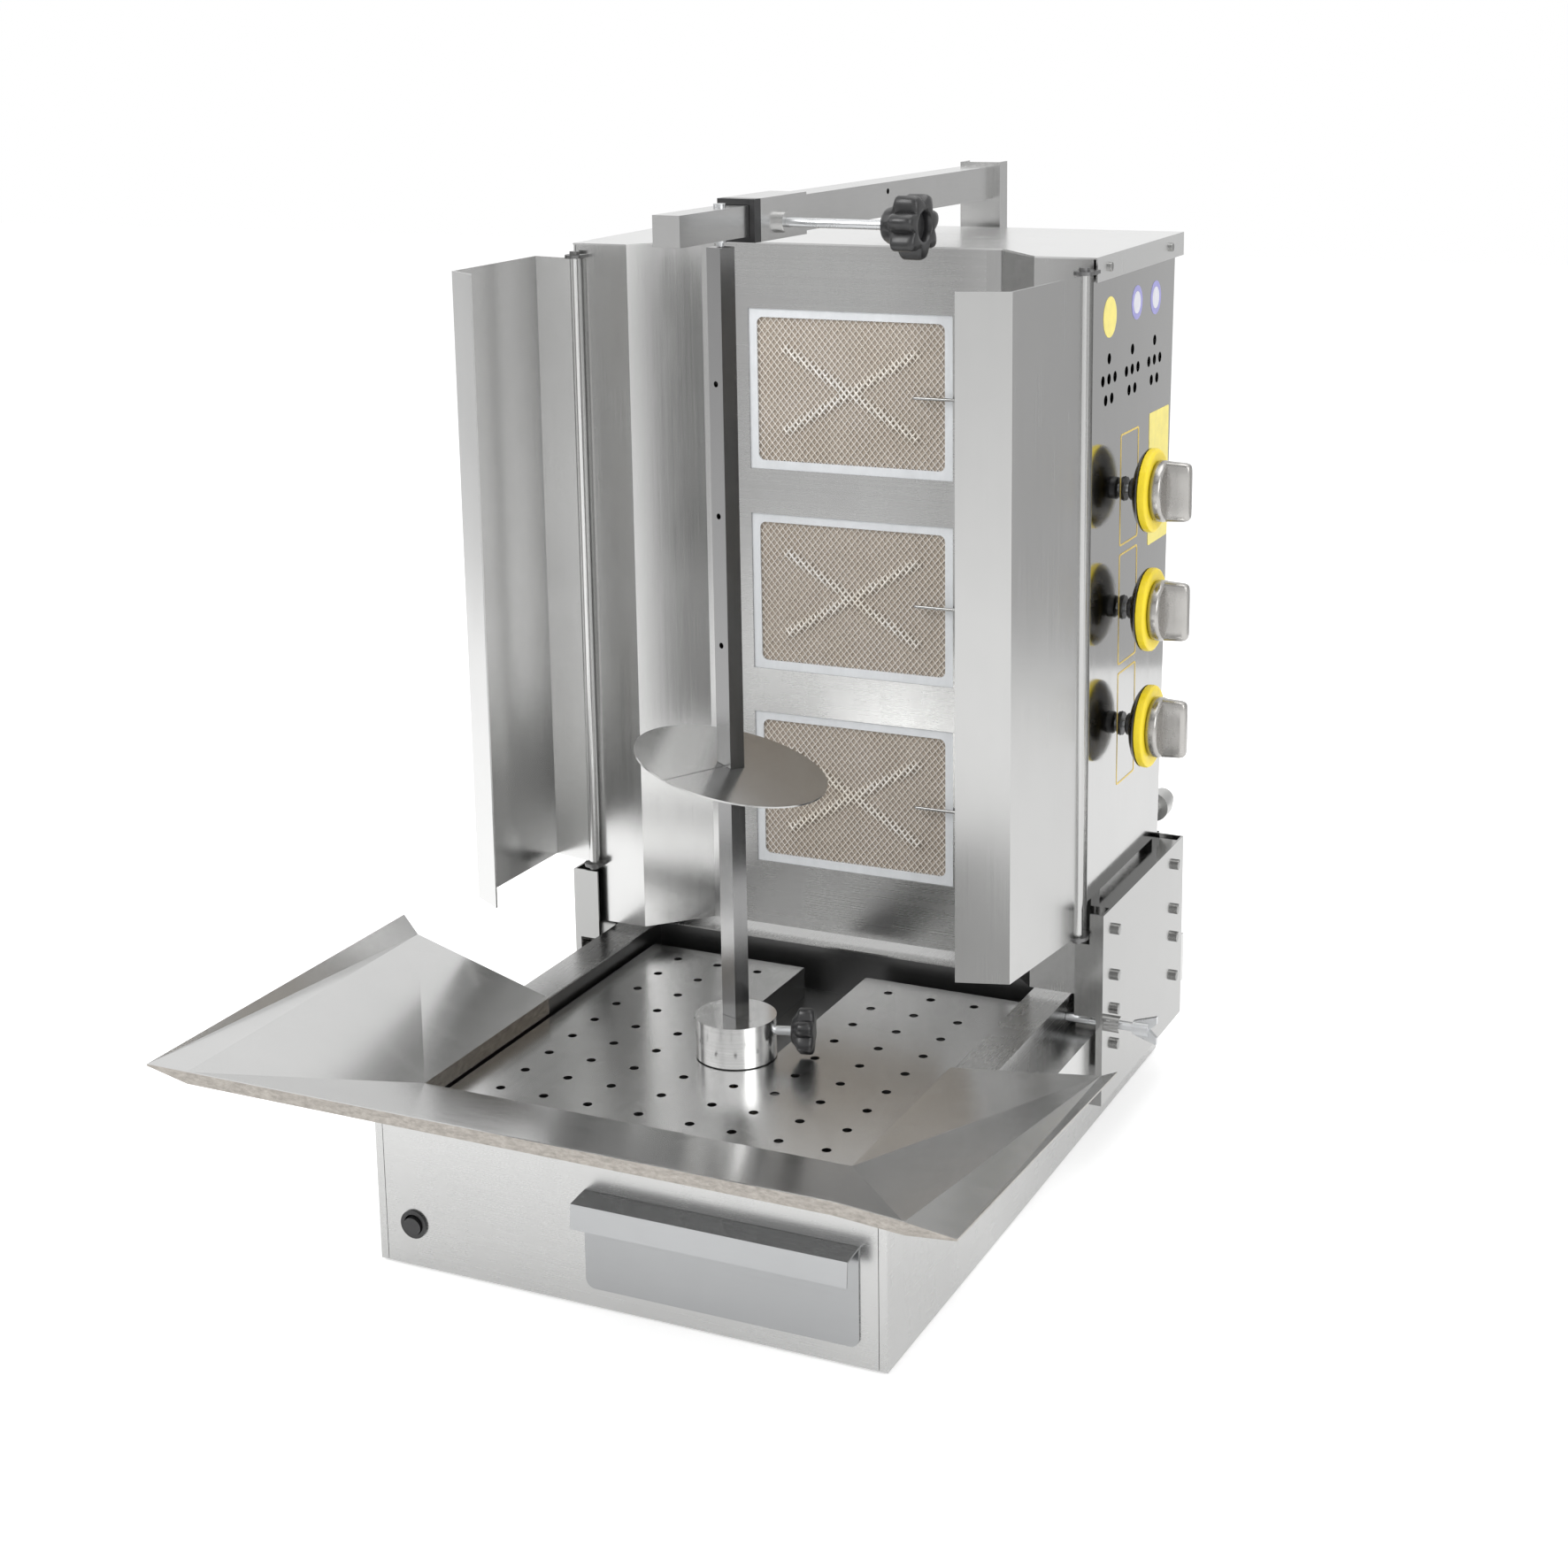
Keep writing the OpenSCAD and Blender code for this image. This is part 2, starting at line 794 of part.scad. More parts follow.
module arm_tube() {
    collar_inside = (tube_side - tube_wall) / 2;
    color("silver") from_axis() difference() {
        union() {
            intersection() {
                along_arm() square_tube(tube_side, tube_wall, collar_front, base_back + post_depth);
                block([-half_base, 0, 0], [half_base, base_back, post_top]);
            }
            along_arm() difference() {
                block([-collar_side / 2, collar_front, -collar_side / 2],
                    [collar_side / 2, collar_back, collar_side / 2]);
                block([-collar_inside, collar_front - over, -collar_inside],
                    [collar_inside, collar_back + over, collar_inside]);
            }
            along_arm() rod_x(star_nut_diameter, [tube_side / 2, star_back, -star_drop],
                collar_side / 2 + star_nut_length);
        }
        along_arm() rod_x(star_screw_diameter + 2 * pin_gap, [slider_side / 2, star_back, -star_drop],
            collar_side / 2 + star_nut_length + over);
        along_arm() rod_x(arm_hole, [tube_side / 2 - tube_wall - over, arm_hole_back, arm_hole_rise],
            tube_side / 2 + over);
    }
}

module arm_liner() {
    color("black") from_axis() along_arm() difference() {
        block([-collar_side / 2, liner_front, -collar_side / 2],
            [collar_side / 2, collar_front, collar_side / 2]);
        block([-slider_side / 2 - gap, liner_front - over, -slider_side / 2 - gap],
            [slider_side / 2 + gap, collar_front + over, slider_side / 2 + gap]);
    }
}

module switch_body() {
    front = -base_front;
    color("black") from_axis() difference() {
        union() {
            rod_y(bezel_diameter, [-switch_left, front - bezel_thickness, switch_height], front);
            rod_y(switch_barrel, [-switch_left, front, switch_height], front + switch_depth);
        }
        rod_y(pocket_diameter, [-switch_left, front - bezel_thickness - over, switch_height],
            front + pocket_depth);
        rod_x(rocker_pin + 2 * pin_gap,
            [-switch_left - switch_barrel / 2 + rocker_pin_inset - gap, front + rocker_pivot,
            switch_height], -switch_left + switch_barrel / 2 - rocker_pin_inset + gap);
    }
}

module switch_rocker() {
    front = -rocker_proud - rocker_pivot;
    color("black") from_axis() translate([-switch_left, rocker_pivot - base_front, switch_height])
            rotate([rocker_tilt, 0, 0]) union() {
        rod_y(rocker_diameter, [0, front, 0], front + rocker_thickness);
        rod_x(rocker_pin, [-switch_barrel / 2 + rocker_pin_inset, 0, 0],
            switch_barrel / 2 - rocker_pin_inset);
    }
}

module base_screws() {
    color("lightgray") from_axis() for (share = post_screw_shares, side = [-1, 1]) {
        x = post_middle + side * post_screw_spread / 2;
        rod_y(screw_diameter, [x, base_back + post_wall - screw_length, share * base_height],
            base_back + post_wall);
        rod_y(screw_head, [x, base_back + post_wall, share * base_height],
            base_back + post_wall + screw_head_height);
    }
}

module cable_gland() {
    color("black") from_axis() difference() {
        union() {
            rod_y(gland_diameter, [-gland_left, base_back, gland_height], base_back + gland_length);
            rod_y(gland_diameter - 2 * gauge, [-gland_left, base_back - gauge - gland_inside, gland_height],
                base_back);
        }
        rod_y(gland_bore, [-gland_left, base_back - gauge - gland_inside - over, gland_height],
            base_back + gland_length + over);
    }
}

module drive_shaft() {
    color("lightgray") from_axis() rod_z(shaft_diameter, [0, 0, shaft_bottom], hub_bottom + shaft_seat);
}

module spit_hub() {
    hole = spit_side + 2 * gap;
    color("gainsboro") from_axis() difference() {
        union() {
            rod_z(hub_diameter, [0, 0, hub_bottom], hub_top);
            rod_z(ring_diameter - 2 * hub_lift, [0, 0, hub_bottom - ring_height], hub_bottom);
        }
        rotate(spit_turn) block([-hole / 2, -hole / 2, spit_bottom], [hole / 2, hole / 2, hub_top + over]);
        rod_z(shaft_diameter, [0, 0, hub_bottom - ring_height - over], hub_bottom + shaft_seat);
        rotate(clamp_direction) rod_x(clamp_screw_diameter + 2 * pin_gap, [0, 0, clamp_level],
            hub_diameter / 2 + over);
    }
}

module spit_tube() {
    inside = spit_side - 2 * spit_wall;
    color("silver") from_axis() rotate(spit_turn) difference() {
        block([-spit_side / 2, -spit_side / 2, spit_bottom], [spit_side / 2, spit_side / 2, spit_top]);
        block([-inside / 2, -inside / 2, spit_bottom - over],
            [inside / 2, inside / 2, spit_top - cap_height]);
        for (k = [0:skewer_count - 1])
            rod_y(skewer_hole, [0, -spit_side, skewer_low + k * skewer_pitch], spit_side);
    }
}

module meat_disc() {
    hole = spit_side / cos(disc_lean) + gauge * tan(disc_lean) + 2 * gap;
    color("silver") from_axis() translate([0, 0, disc_middle]) rotate(lean_direction)
            rotate([0, disc_lean, 0]) rotate(-lean_direction) difference() {
        translate([0, 0, -gauge / 2]) cylinder(d = disc_diameter, h = gauge);
        rotate(spit_turn) block([-hole / 2, -hole / 2, -gauge - over], [hole / 2, hole / 2, gauge + over]);
        rotate(slit_direction) block([0, -slit_width / 2, -gauge - over],
            [disc_diameter, slit_width / 2, gauge + over]);
    }
}

module clamp_screw() {
    slant = clamp_direction - spit_turn;
    tip = (spit_side / 2 + gap + clamp_screw_diameter / 2 * sin(slant)) / cos(slant);
    color("lightgray") from_axis() rotate(clamp_direction)
        rod_x(clamp_screw_diameter, [tip, 0, clamp_level], clamp_reach);
}

module clamp_knob() {
    color("black") from_axis() rotate(clamp_direction) difference() {
        translate([clamp_knob_start, 0, clamp_level])
            lobed_knob(clamp_knob_diameter, clamp_knob_length, clamp_lobes);
        rod_x(clamp_screw_diameter, [clamp_knob_start - over, 0, clamp_level], clamp_reach);
    }
}

module arm_slider() {
    color("silver") from_axis() difference() {
        along_arm() union() {
            square_tube(slider_side, slider_wall, -slider_front, slider_back);
            block([-slider_side / 2, -slider_front, -slider_side / 2],
                [slider_side / 2, slider_wall - slider_front, slider_side / 2]);
        }
        rod_z(arm_pin_diameter, [0, 0, slider_bottom - over], slider_top + over);
    }
}

module arm_pin() {
    tip = spit_top + arm_pin_gap;
    color("gray") from_axis() union() {
        rod_z(arm_pin_diameter, [0, 0, tip], slider_top);
        rod_z(arm_pin_head, [0, 0, slider_top], slider_top + arm_pin_head_height);
        rod_z(arm_pin_head, [0, 0, slider_bottom - arm_pin_head_height], slider_bottom);
    }
}

module star_screw() {
    color("lightgray") from_axis() along_arm()
        rod_x(star_screw_diameter, [slider_side / 2 + gap, star_back, -star_drop],
            star_start + star_length / 2);
}

module star_knob() {
    color("black") from_axis() along_arm() translate([star_start, star_back, -star_drop]) difference() {
        lobed_knob(star_diameter, star_length, star_lobes);
        rod_x(star_screw_diameter, [-over, 0, 0], star_length / 2);
        rod_x(star_recess_diameter, [star_length - star_recess_depth, 0, 0], star_length + over);
    }
}

// Upper points of one wing of the tray, from its front strip to its raised lip
function wing_points(crease_drop, front_drop, back_drop, inset, rise) =
    let (inner = half_opening - gauge, out = half_tray, back = rim_height + back_rise - back_drop)
    [
        [inner, -opening_front + gauge, tray_inner],
        [inner, tray_back, tray_inner],
        [out - inset - lip_back, tray_back, back - rise],
        [out - inset, tray_back, back],
        [out, -tray_front, rim_height - front_drop],
        [out - lip_front, -tray_front, rim_height - crease_drop],
        [out - crease_width, -tray_front, rim_height]
    ];

function flip(points) = [for (i = [len(points) - 1:-1:0]) [-points[i][0], points[i][1], points[i][2]]];

// Triangles that cover a wing of seven points
wing_faces = [[0, 1, 2], [0, 2, 5], [2, 3, 4], [2, 4, 5], [0, 5, 6]];

module tray_sheet() {
    right = wing_points(right_crease_drop, right_front_drop, right_back_drop, right_back_inset,
        right_lip_rise);
    left = flip(wing_points(0, 0, 0, 0, left_lip_rise));
    top = concat(right, left);
    n = len(top);
    below = [for (point = top) point - [0, 0, gauge]];
    left_faces = [for (face = wing_faces) [for (i = [2:-1:0]) n - 1 - face[i]]];
    strip = [[0, 6, 7], [0, 7, 13]];
    upper = concat(wing_faces, left_faces, strip);
    polyhedron(
        points = concat(top, below),
        faces = concat(
            [for (face = upper) [face[2], face[1], face[0]]],
            [for (face = upper) [face[0] + n, face[1] + n, face[2] + n]],
            [for (i = [0:n - 1]) let (j = (i + 1) % n) [i, i + n, j + n]],
            [for (i = [0:n - 1]) let (j = (i + 1) % n) [i, j + n, j]]
        ));
}

module catch_tray() {
    inner = half_opening - gauge;
    skirt_top = tray_inner - gauge / 2;
    skirt_bottom = tray_inner - skirt_depth;
    out = half_tray;
    crease_rim = rim_height - right_crease_drop;
    right_rim = rim_height - right_front_drop;
    color("silver") from_axis() union() {
        tray_sheet();
        for (side = [-1, 1]) sided(side)
            block([inner, -opening_front, skirt_bottom], [half_opening, tray_back, skirt_top]);
        block([-half_opening, -opening_front, skirt_bottom],
            [half_opening, -opening_front + gauge, skirt_top]);
        translate([0, -tray_front + gauge, 0]) rotate([90, 0, 0]) linear_extrude(gauge) polygon([
            [-out, rim_height], [out - crease_width, rim_height], [out - lip_front, crease_rim],
            [out, right_rim], [out, right_rim - gauge], [out - lip_front, crease_rim - hem_height],
            [out - crease_width, rim_height - hem_height],
            [-out + lip_front, rim_height - hem_height], [-out, rim_height - gauge]
        ]);
    }
}

module drawer_pan() {
    color("silver") from_axis() difference() {
        block([pan_left, -base_front - gap, pan_bottom],
            [pan_right, -base_front + drawer_depth, pan_bottom + pan_height]);
        block([pan_left + gauge, -base_front - gap + gauge, pan_bottom + gauge],
            [pan_right - gauge, -base_front + drawer_depth - gauge, pan_bottom + pan_height + over]);
    }
}

module drawer_front() {
    left = drawer_middle - drawer_width / 2;
    right = left + drawer_width;
    back = -base_front - gap;
    top = drawer_bottom + drawer_height;
    reach = back - gauge - handle_reach;
    color("silver") from_axis() intersection() {
        cross_sheet([
            [back - gauge / 2, drawer_bottom],
            [back - gauge / 2, top],
            [reach + handle_slope, top - handle_slope],
            [reach, top - handle_slope - handle_drop]
        ], gauge, left, right);
        union() {
            block([left, reach - gauge, drawer_bottom + drawer_corner], [right, back, top + gauge]);
            block([left + drawer_corner, reach, drawer_bottom], [right - drawer_corner, back, top]);
            for (x = [left + drawer_corner, right - drawer_corner])
                rod_y(2 * drawer_corner, [x, reach, drawer_bottom + drawer_corner], back);
        }
    }
}

// Outline of a side panel, by places back and up
module panel_outline() {
    polygon([
        [housing_front + gauge, housing_bottom], [housing_back, housing_bottom],
        [housing_back + back_lean, lid_top - gauge], [housing_front + gauge, lid_top - gauge]
    ]);
}

module panel_sheet() {
    difference() {
        translate([half_housing - gauge, 0, 0]) rotate([90, 0, 90]) linear_extrude(gauge) panel_outline();
        for (y = lid_screws)
            rod_x(lid_screw, [half_housing - gauge - over, y, lid_screw_height], half_housing + over);
    }
}

module side_panel_left() {
    color("silver") from_axis() sided(-1) panel_sheet();
}

module side_panel_right() {
    inside = half_housing - gauge - over;
    outside = half_housing + over;
    color("silver") from_axis() difference() {
        panel_sheet();
        for (level = knob_levels) rod_x(grip_hole, [inside, knob_back, level], outside);
        for (group = vent_groups) {
            rod_x(vent_diameter, [inside, group, vent_top], outside);
            for (k = [-1:1])
                rod_x(vent_diameter, [inside, group + k * vent_spread, vent_top - vent_step], outside);
            for (k = [-1, 1])
                rod_x(vent_diameter, [inside, group + k * vent_spread / 2, vent_top - 2 * vent_step],
                    outside);
        }
    }
}

module housing_back_panel() {
    inside = half_housing - gauge;
    rise = lid_top - gauge - gap - housing_bottom;
    level = housing_bottom + inlet_height + gauge;
    color("gray") from_axis() difference() {
        cross_sheet([
            [frame_back, housing_bottom + gauge / 2],
            [housing_back - gauge, housing_bottom + gauge / 2],
            [housing_back - gauge + back_lean, housing_bottom + rise]
        ], gauge, -inside, inside);
        block([-fascia_half, frame_back - over, housing_bottom - over],
            [fascia_half, tile_back + plenum_depth + gap, housing_bottom + gauge + over]);
        rod_y(inlet_pipe, [manifold_left + manifold_side / 2, manifold_front, level],
            housing_back + back_lean);
    }
}

module lid() {
    out = half_housing + lid_overhang;
    bottom = lid_top - lid_flange;
    color("whitesmoke") from_axis() difference() {
        union() {
            translate([0, 0, lid_top - gauge]) linear_extrude(gauge) polygon([
                [-out, lid_back], [-out, housing_front], [-wing_bend, housing_front],
                [-wing_inner_bend, burner_wall], [wing_inner_bend, burner_wall],
                [wing_bend, housing_front], [out, housing_front], [out, lid_back]
            ]);
            block([-out, lid_back - gauge, bottom], [out, lid_back, lid_top]);
            for (side = [-1, 1]) sided(side)
                block([out - gauge, housing_front + gauge, bottom], [out, lid_back, lid_top]);
        }
        lid_screw_holes();
    }
}

module lid_screw_holes() {
    for (side = [-1, 1], y = lid_screws) sided(side)
        rod_x(lid_screw, [half_housing - gauge, y, lid_screw_height], half_housing + lid_overhang + over);
}

module wing(side) {
    color("silver") from_axis() sided(side) bent_sheet([
        [half_housing, housing_front + gauge / 2],
        [wing_bend, housing_front + gauge / 2],
        [wing_inner_bend, burner_wall - gauge / 2],
        [wing_inner_edge, burner_wall - gauge / 2]
    ], gauge, wing_bottom, lid_top - gauge);
}

module wing_left() {
    wing(-1);
}

module wing_right() {
    wing(1);
}

module burner_fascia() {
    color("silver") from_axis() difference() {
        block([-fascia_half, burner_wall, wing_bottom], [fascia_half, burner_wall + gauge, lid_top - gauge]);
        for (level = burner_levels) {
            block([-frame_width / 2, burner_wall - over, level - frame_height / 2],
                [frame_width / 2, burner_wall + gauge + over, level + frame_height / 2]);
            rod_y(insulator_diameter, [igniter_root, burner_wall - over, level],
                burner_wall + gauge + over);
        }
    }
}

module burner_frames() {
    color("whitesmoke") from_axis() for (level = burner_levels) translate([0, 0, level]) difference() {
        block([-frame_width / 2 - frame_overlap, frame_front, -frame_height / 2 - frame_overlap],
            [frame_width / 2 + frame_overlap, frame_back, frame_height / 2 + frame_overlap]);
        block([-window_width / 2 + frame_corner, frame_front - over, -window_height / 2],
            [window_width / 2 - frame_corner, frame_back + over, window_height / 2]);
        block([-window_width / 2, frame_front - over, -window_height / 2 + frame_corner],
            [window_width / 2, frame_back + over, window_height / 2 - frame_corner]);
        for (x = [-1, 1], z = [-1, 1])
            rod_y(2 * frame_corner, [x * (window_width / 2 - frame_corner), frame_front - over,
                z * (window_height / 2 - frame_corner)], frame_back + over);
    }
}

module burner_tiles() {
    color("wheat") from_axis() for (level = burner_levels) translate([0, 0, level])
        block([-pocket_width / 2, tile_front, -pocket_height / 2],
            [pocket_width / 2, tile_back, pocket_height / 2]);
}

module burner_screens() {
    cell = [window_width / net_columns, window_height / net_rows];
    color("tan") from_axis() for (level = burner_levels) translate([0, frame_back, level])
            rotate([90, 0, 0]) translate([0, 0, -screen_thickness]) linear_extrude(screen_thickness)
            difference() {
        square([pocket_width, pocket_height], center = true);
        for (i = [0:net_columns - 1], k = [0:net_rows - 1])
            translate([(i + 0.5) * cell[0] - window_width / 2, (k + 0.5) * cell[1] - window_height / 2])
                polygon(net_share / 2 * [[cell[0], 0], [0, cell[1]], [-cell[0], 0], [0, -cell[1]]]);
    }
}

module burner_boxes() {
    out = [pocket_width / 2 + box_wall, pocket_height / 2 + box_wall];
    back = tile_back + plenum_depth;
    middle = (tile_back + back) / 2;
    color("darkgray") from_axis() for (level = burner_levels) translate([0, 0, level]) difference() {
        union() {
            block([-out[0], frame_back, -out[1]], [out[0], back, out[1]]);
            rod_x(venturi_diameter, [out[0], middle, 0], venturi_end);
        }
        block([-pocket_width / 2, frame_back - over, -pocket_height / 2],
            [pocket_width / 2, tile_back, pocket_height / 2]);
        block([box_wall - pocket_width / 2, tile_back - over, box_wall - pocket_height / 2],
            [pocket_width / 2 - box_wall, back - venturi_wall, pocket_height / 2 - box_wall]);
        rod_x(venturi_diameter - 2 * venturi_wall, [0, middle, 0], venturi_end + over);
    }
}

module igniters() {
    front = burner_wall - igniter_forward;
    color("white") from_axis() for (level = burner_levels) union() {
        rod_x(igniter_rod, [igniter_end, front, level], igniter_root);
        rod_y(igniter_rod, [igniter_root - igniter_rod / 2, front, level], burner_wall);
        rod_y(insulator_diameter, [igniter_root, burner_wall - insulator_front, level],
            burner_wall + insulator_back);
    }
}

module gas_manifold() {
    color("lightgray") from_axis() block(
        [manifold_left, manifold_front, manifold_bottom],
        [manifold_left + manifold_side, manifold_front + manifold_side, manifold_top]);
}

module gas_valves() {
    color("goldenrod") from_axis() for (i = [0:2]) {
        level = knob_levels[i];
        burner = burner_levels[i];
        middle = manifold_left + manifold_side / 2;
        front = manifold_front - valve_depth;
        feed_back = (2 * tile_back + plenum_depth) / 2;
        difference() {
            union() {
                block([manifold_left, front, level - valve_height / 2],
                    [valve_right, manifold_front, level + valve_height / 2]);
                rod_x(bonnet_diameter, [valve_right, knob_back, level], valve_right + bonnet_length);
                rod_z(feed_diameter, [middle, feed_back, min(level, burner - feed_diameter / 2)],
                    max(level, burner + feed_diameter / 2));
                rod_x(feed_diameter, [venturi_end - over, feed_back, burner], middle);
            }
            rod_x(stem_diameter + 2 * pin_gap, [valve_right - stem_seat, knob_back, level],
                valve_right + bonnet_length + over);
        }
    }
}

module gas_inlet() {
    level = housing_bottom + inlet_height + gauge;
    middle = manifold_left + manifold_side / 2;
    nut = housing_back + inlet_nut_gap;
    color("goldenrod") from_axis() union() {
        rod_y(inlet_pipe, [middle, manifold_front + manifold_side, level], nut);
        rod_y(inlet_nut, [middle, nut, level], nut + inlet_nut_length);
        rod_y(thread_diameter, [middle, nut + inlet_nut_length, level],
            nut + inlet_nut_length + thread_length);
    }
}

module bracket_sheet() {
    middle = bracket_thickness / 2;
    front = bracket_front - over;
    back = bracket_back + over;
    difference() {
        bent_sheet([
            [bracket_in, bracket_front + middle], [bracket_out - middle, bracket_front + middle],
            [bracket_out - middle, bracket_back - middle], [bracket_in, bracket_back - middle]
        ], bracket_thickness, bracket_bottom, bracket_top);
        block([bracket_in - over, front, rail_bottom - notch_below],
            [rail_out + notch_beside, back, rail_top + notch_above]);
        block([bracket_in - over, front, bracket_bottom - over],
            [bracket_out - hook_width, back, rail_bottom]);
        block([bracket_in - over, front, bracket_top - hinge_relief_height],
            [bracket_in + hinge_relief_width, bracket_front + door_relief_depth, bracket_top + over]);
        bolt_holes();
    }
}

// Calls its child at every bolt of one bracket, with the height of the bolt
module at_bolts() {
    for (share = front_bolt_shares) translate([0, leg_front, share * bracket_top]) children();
    for (share = back_bolt_shares) translate([0, leg_back, share * bracket_top]) children();
}

module bolt_holes() {
    at_bolts() rod_x(bolt_diameter, [bracket_out - bolt_head, 0, 0], bracket_out + over);
}

// Legs that carry the housing, joined by a strip along the top of the bracket
module bracket_legs() {
    inside = bracket_out - bracket_thickness / 2;
    block([leg_in, leg_front, bracket_top - bracket_thickness], [inside, leg_back, bracket_top]);
    for (y = [leg_front, leg_back]) difference() {
        union() {
            block([leg_in, y - leg_width / 2, rail_top + pad_height + gap],
                [inside, y + leg_width / 2, bracket_top]);
            block([leg_in, y - leg_width / 2, bracket_top],
                [half_housing, y + leg_width / 2, housing_bottom]);
        }
        bolt_holes();
    }
}

module bracket_left() {
    color("lightgray") from_axis() sided(-1) union() {
        difference() {
            bracket_sheet();
            block([bracket_in - over, bracket_front - over, bracket_top - hinge_relief_height],
                [bracket_out + over, bracket_front + door_relief_depth, bracket_top + over]);
        }
        bracket_legs();
    }
}

module bracket_right() {
    color("lightgray") from_axis() difference() {
        union() {
            bracket_sheet();
            bracket_legs();
            rod_x(lock_nut, [bracket_out, lock_back, lock_height], bracket_out + lock_nut_length);
        }
        rod_x(lock_diameter + 2 * pin_gap, [rail_out, lock_back, lock_height],
            bracket_out + lock_nut_length + over);
    }
}

module slider_pads() {
    inside = bracket_out - bracket_thickness;
    color("white") from_axis() for (side = [-1, 1]) sided(side) difference() {
        for (y = [leg_front, leg_back]) {
            block([leg_in, y - leg_width / 2, rail_top + gap],
                [rail_out, y + leg_width / 2, rail_top + gap + pad_height]);
            block([rail_out + gap, y - side_pad_length / 2, rail_top - side_pad_height],
                [inside, y + side_pad_length / 2, rail_top]);
        }
        bolt_holes();
    }
}

module carriage_bolts() {
    color("dimgray") from_axis() for (side = [-1, 1]) sided(side) {
        at_bolts() {
            rod_x(bolt_diameter, [rail_out + gap, 0, 0], bracket_out);
            rod_x(bolt_head, [bracket_out, 0, 0], bracket_out + bolt_head_height);
        }
        for (y = lid_screws) {
            out = half_housing + lid_overhang;
            rod_x(lid_screw, [half_housing - gauge, y, lid_screw_height], out);
            rod_x(lid_screw_head, [out, y, lid_screw_height], out + lid_screw_head_height);
        }
    }
}

// Hinge plates and pin of one door, with the axis at a given place in front
module door_hinge(front) {
    back = housing_front;
    for (level = [door_bottom - gap - hinge_plate, door_top + gap]) difference() {
        union() {
            rod_z(hinge_plate_width, [hinge_out, front, level], level + hinge_plate);
            block([hinge_out - hinge_plate_width / 2, front, level],
                [hinge_out + hinge_plate_width / 2, back, level + hinge_plate]);
        }
        block([hinge_out - hinge_plate_width, back, level - over],
            [hinge_out + hinge_plate_width, back + hinge_plate_width, level + hinge_plate + over]);
        rod_z(hinge_pin, [hinge_out, front, level - over], level + hinge_plate + over);
    }
    rod_z(hinge_pin, [hinge_out, front, door_bottom - gap - hinge_plate],
        door_top + gap + hinge_plate);
    rod_z(hinge_head_diameter, [hinge_out, front, door_top + gap + hinge_plate],
        door_top + gap + hinge_plate + hinge_head_height);
    rod_z(hinge_head_diameter, [hinge_out, front, door_bottom - gap - hinge_plate - hinge_head_height],
        door_bottom - gap - hinge_plate);
}

module door_hinges() {
    color("dimgray") from_axis() union() {
        door_hinge(hinge_front);
        sided(-1) door_hinge(left_hinge_front);
    }
}

// Door sheet with its barrel, along a path that starts at the hinge axis
module door_sheet(path) {
    difference() {
        union() {
            bent_sheet(path, gauge, door_bottom, door_top);
            rod_z(barrel_diameter, concat(path[0], door_bottom), door_top);
        }
        rod_z(hinge_pin + 2 * pin_gap, concat(path[0], door_bottom - over), door_top + over);
    }
}

module door_right() {
    hinge = [hinge_out, hinge_front];
    bend = step(hinge, right_leaf, right_leaf_heading, 1);
    color("silver") from_axis() door_sheet([hinge, bend, step(bend, right_edge, right_edge_heading, 1)]);
}

module door_left() {
    hinge = [-hinge_out, left_hinge_front];
    first = step(hinge, left_flange, left_flange_heading, -1);
    second = step(first, left_leaf, left_leaf_heading, -1);
    color("silver") from_axis()
        door_sheet([hinge, first, second, step(second, left_edge, left_edge_heading, -1)]);
}

module lock_screw() {
    end = bracket_out + lock_reach;
    hub = end - lock_hub_length;
    notch = end - lock_notch_share * lock_hub_length;
    color("lightgray") from_axis() translate([0, lock_back, lock_height]) union() {
        rod_x(lock_diameter, [half_base + gap, 0, 0], hub);
        rod_x(lock_hub, [hub - over, 0, 0], notch);
        translate([0, lock_wing_thickness / 2, 0]) rotate([90, 0, 0])
            linear_extrude(lock_wing_thickness) polygon([
                [hub, -lock_hub / 2], [end, -lock_wing_height / 2], [end, -lock_hub / 2],
                [notch, 0], [end, lock_hub / 2], [end, lock_wing_height / 2],
                [hub, lock_hub / 2]
            ]);
    }
}

module valve_stem(level) {
    color("dimgray") from_axis()
        rod_x(stem_diameter, [valve_right - stem_seat + knob_travel + gap, knob_back, level], stem_end);
}

module valve_stem_low() {
    valve_stem(knob_levels[0]);
}

module valve_stem_middle() {
    valve_stem(knob_levels[1]);
}

module valve_stem_high() {
    valve_stem(knob_levels[2]);
}

module gas_knob(level) {
    grip = skirt_start + skirt_thickness;
    color("gold") from_axis() translate([0, knob_back, level]) difference() {
        union() {
            rod_x(knob_sleeve_diameter, [knob_sleeve_start, 0, 0], skirt_start);
            rod_x(skirt_diameter, [skirt_start, 0, 0], grip);
            rod_x(grip_diameter, [grip, 0, 0], grip + grip_disc);
            intersection() {
                rod_x(grip_diameter, [grip, 0, 0], grip + grip_disc + grip_bar_height);
                block([grip, -grip_bar_width / 2, -grip_diameter],
                    [grip + grip_disc + grip_bar_height, grip_bar_width / 2, grip_diameter]);
            }
        }
        rod_x(stem_diameter + 2 * pin_gap, [knob_sleeve_start - over, 0, 0], stem_end + gap);
    }
}

module gas_knob_low() {
    gas_knob(knob_levels[0]);
}

module gas_knob_middle() {
    gas_knob(knob_levels[1]);
}

module gas_knob_high() {
    gas_knob(knob_levels[2]);
}

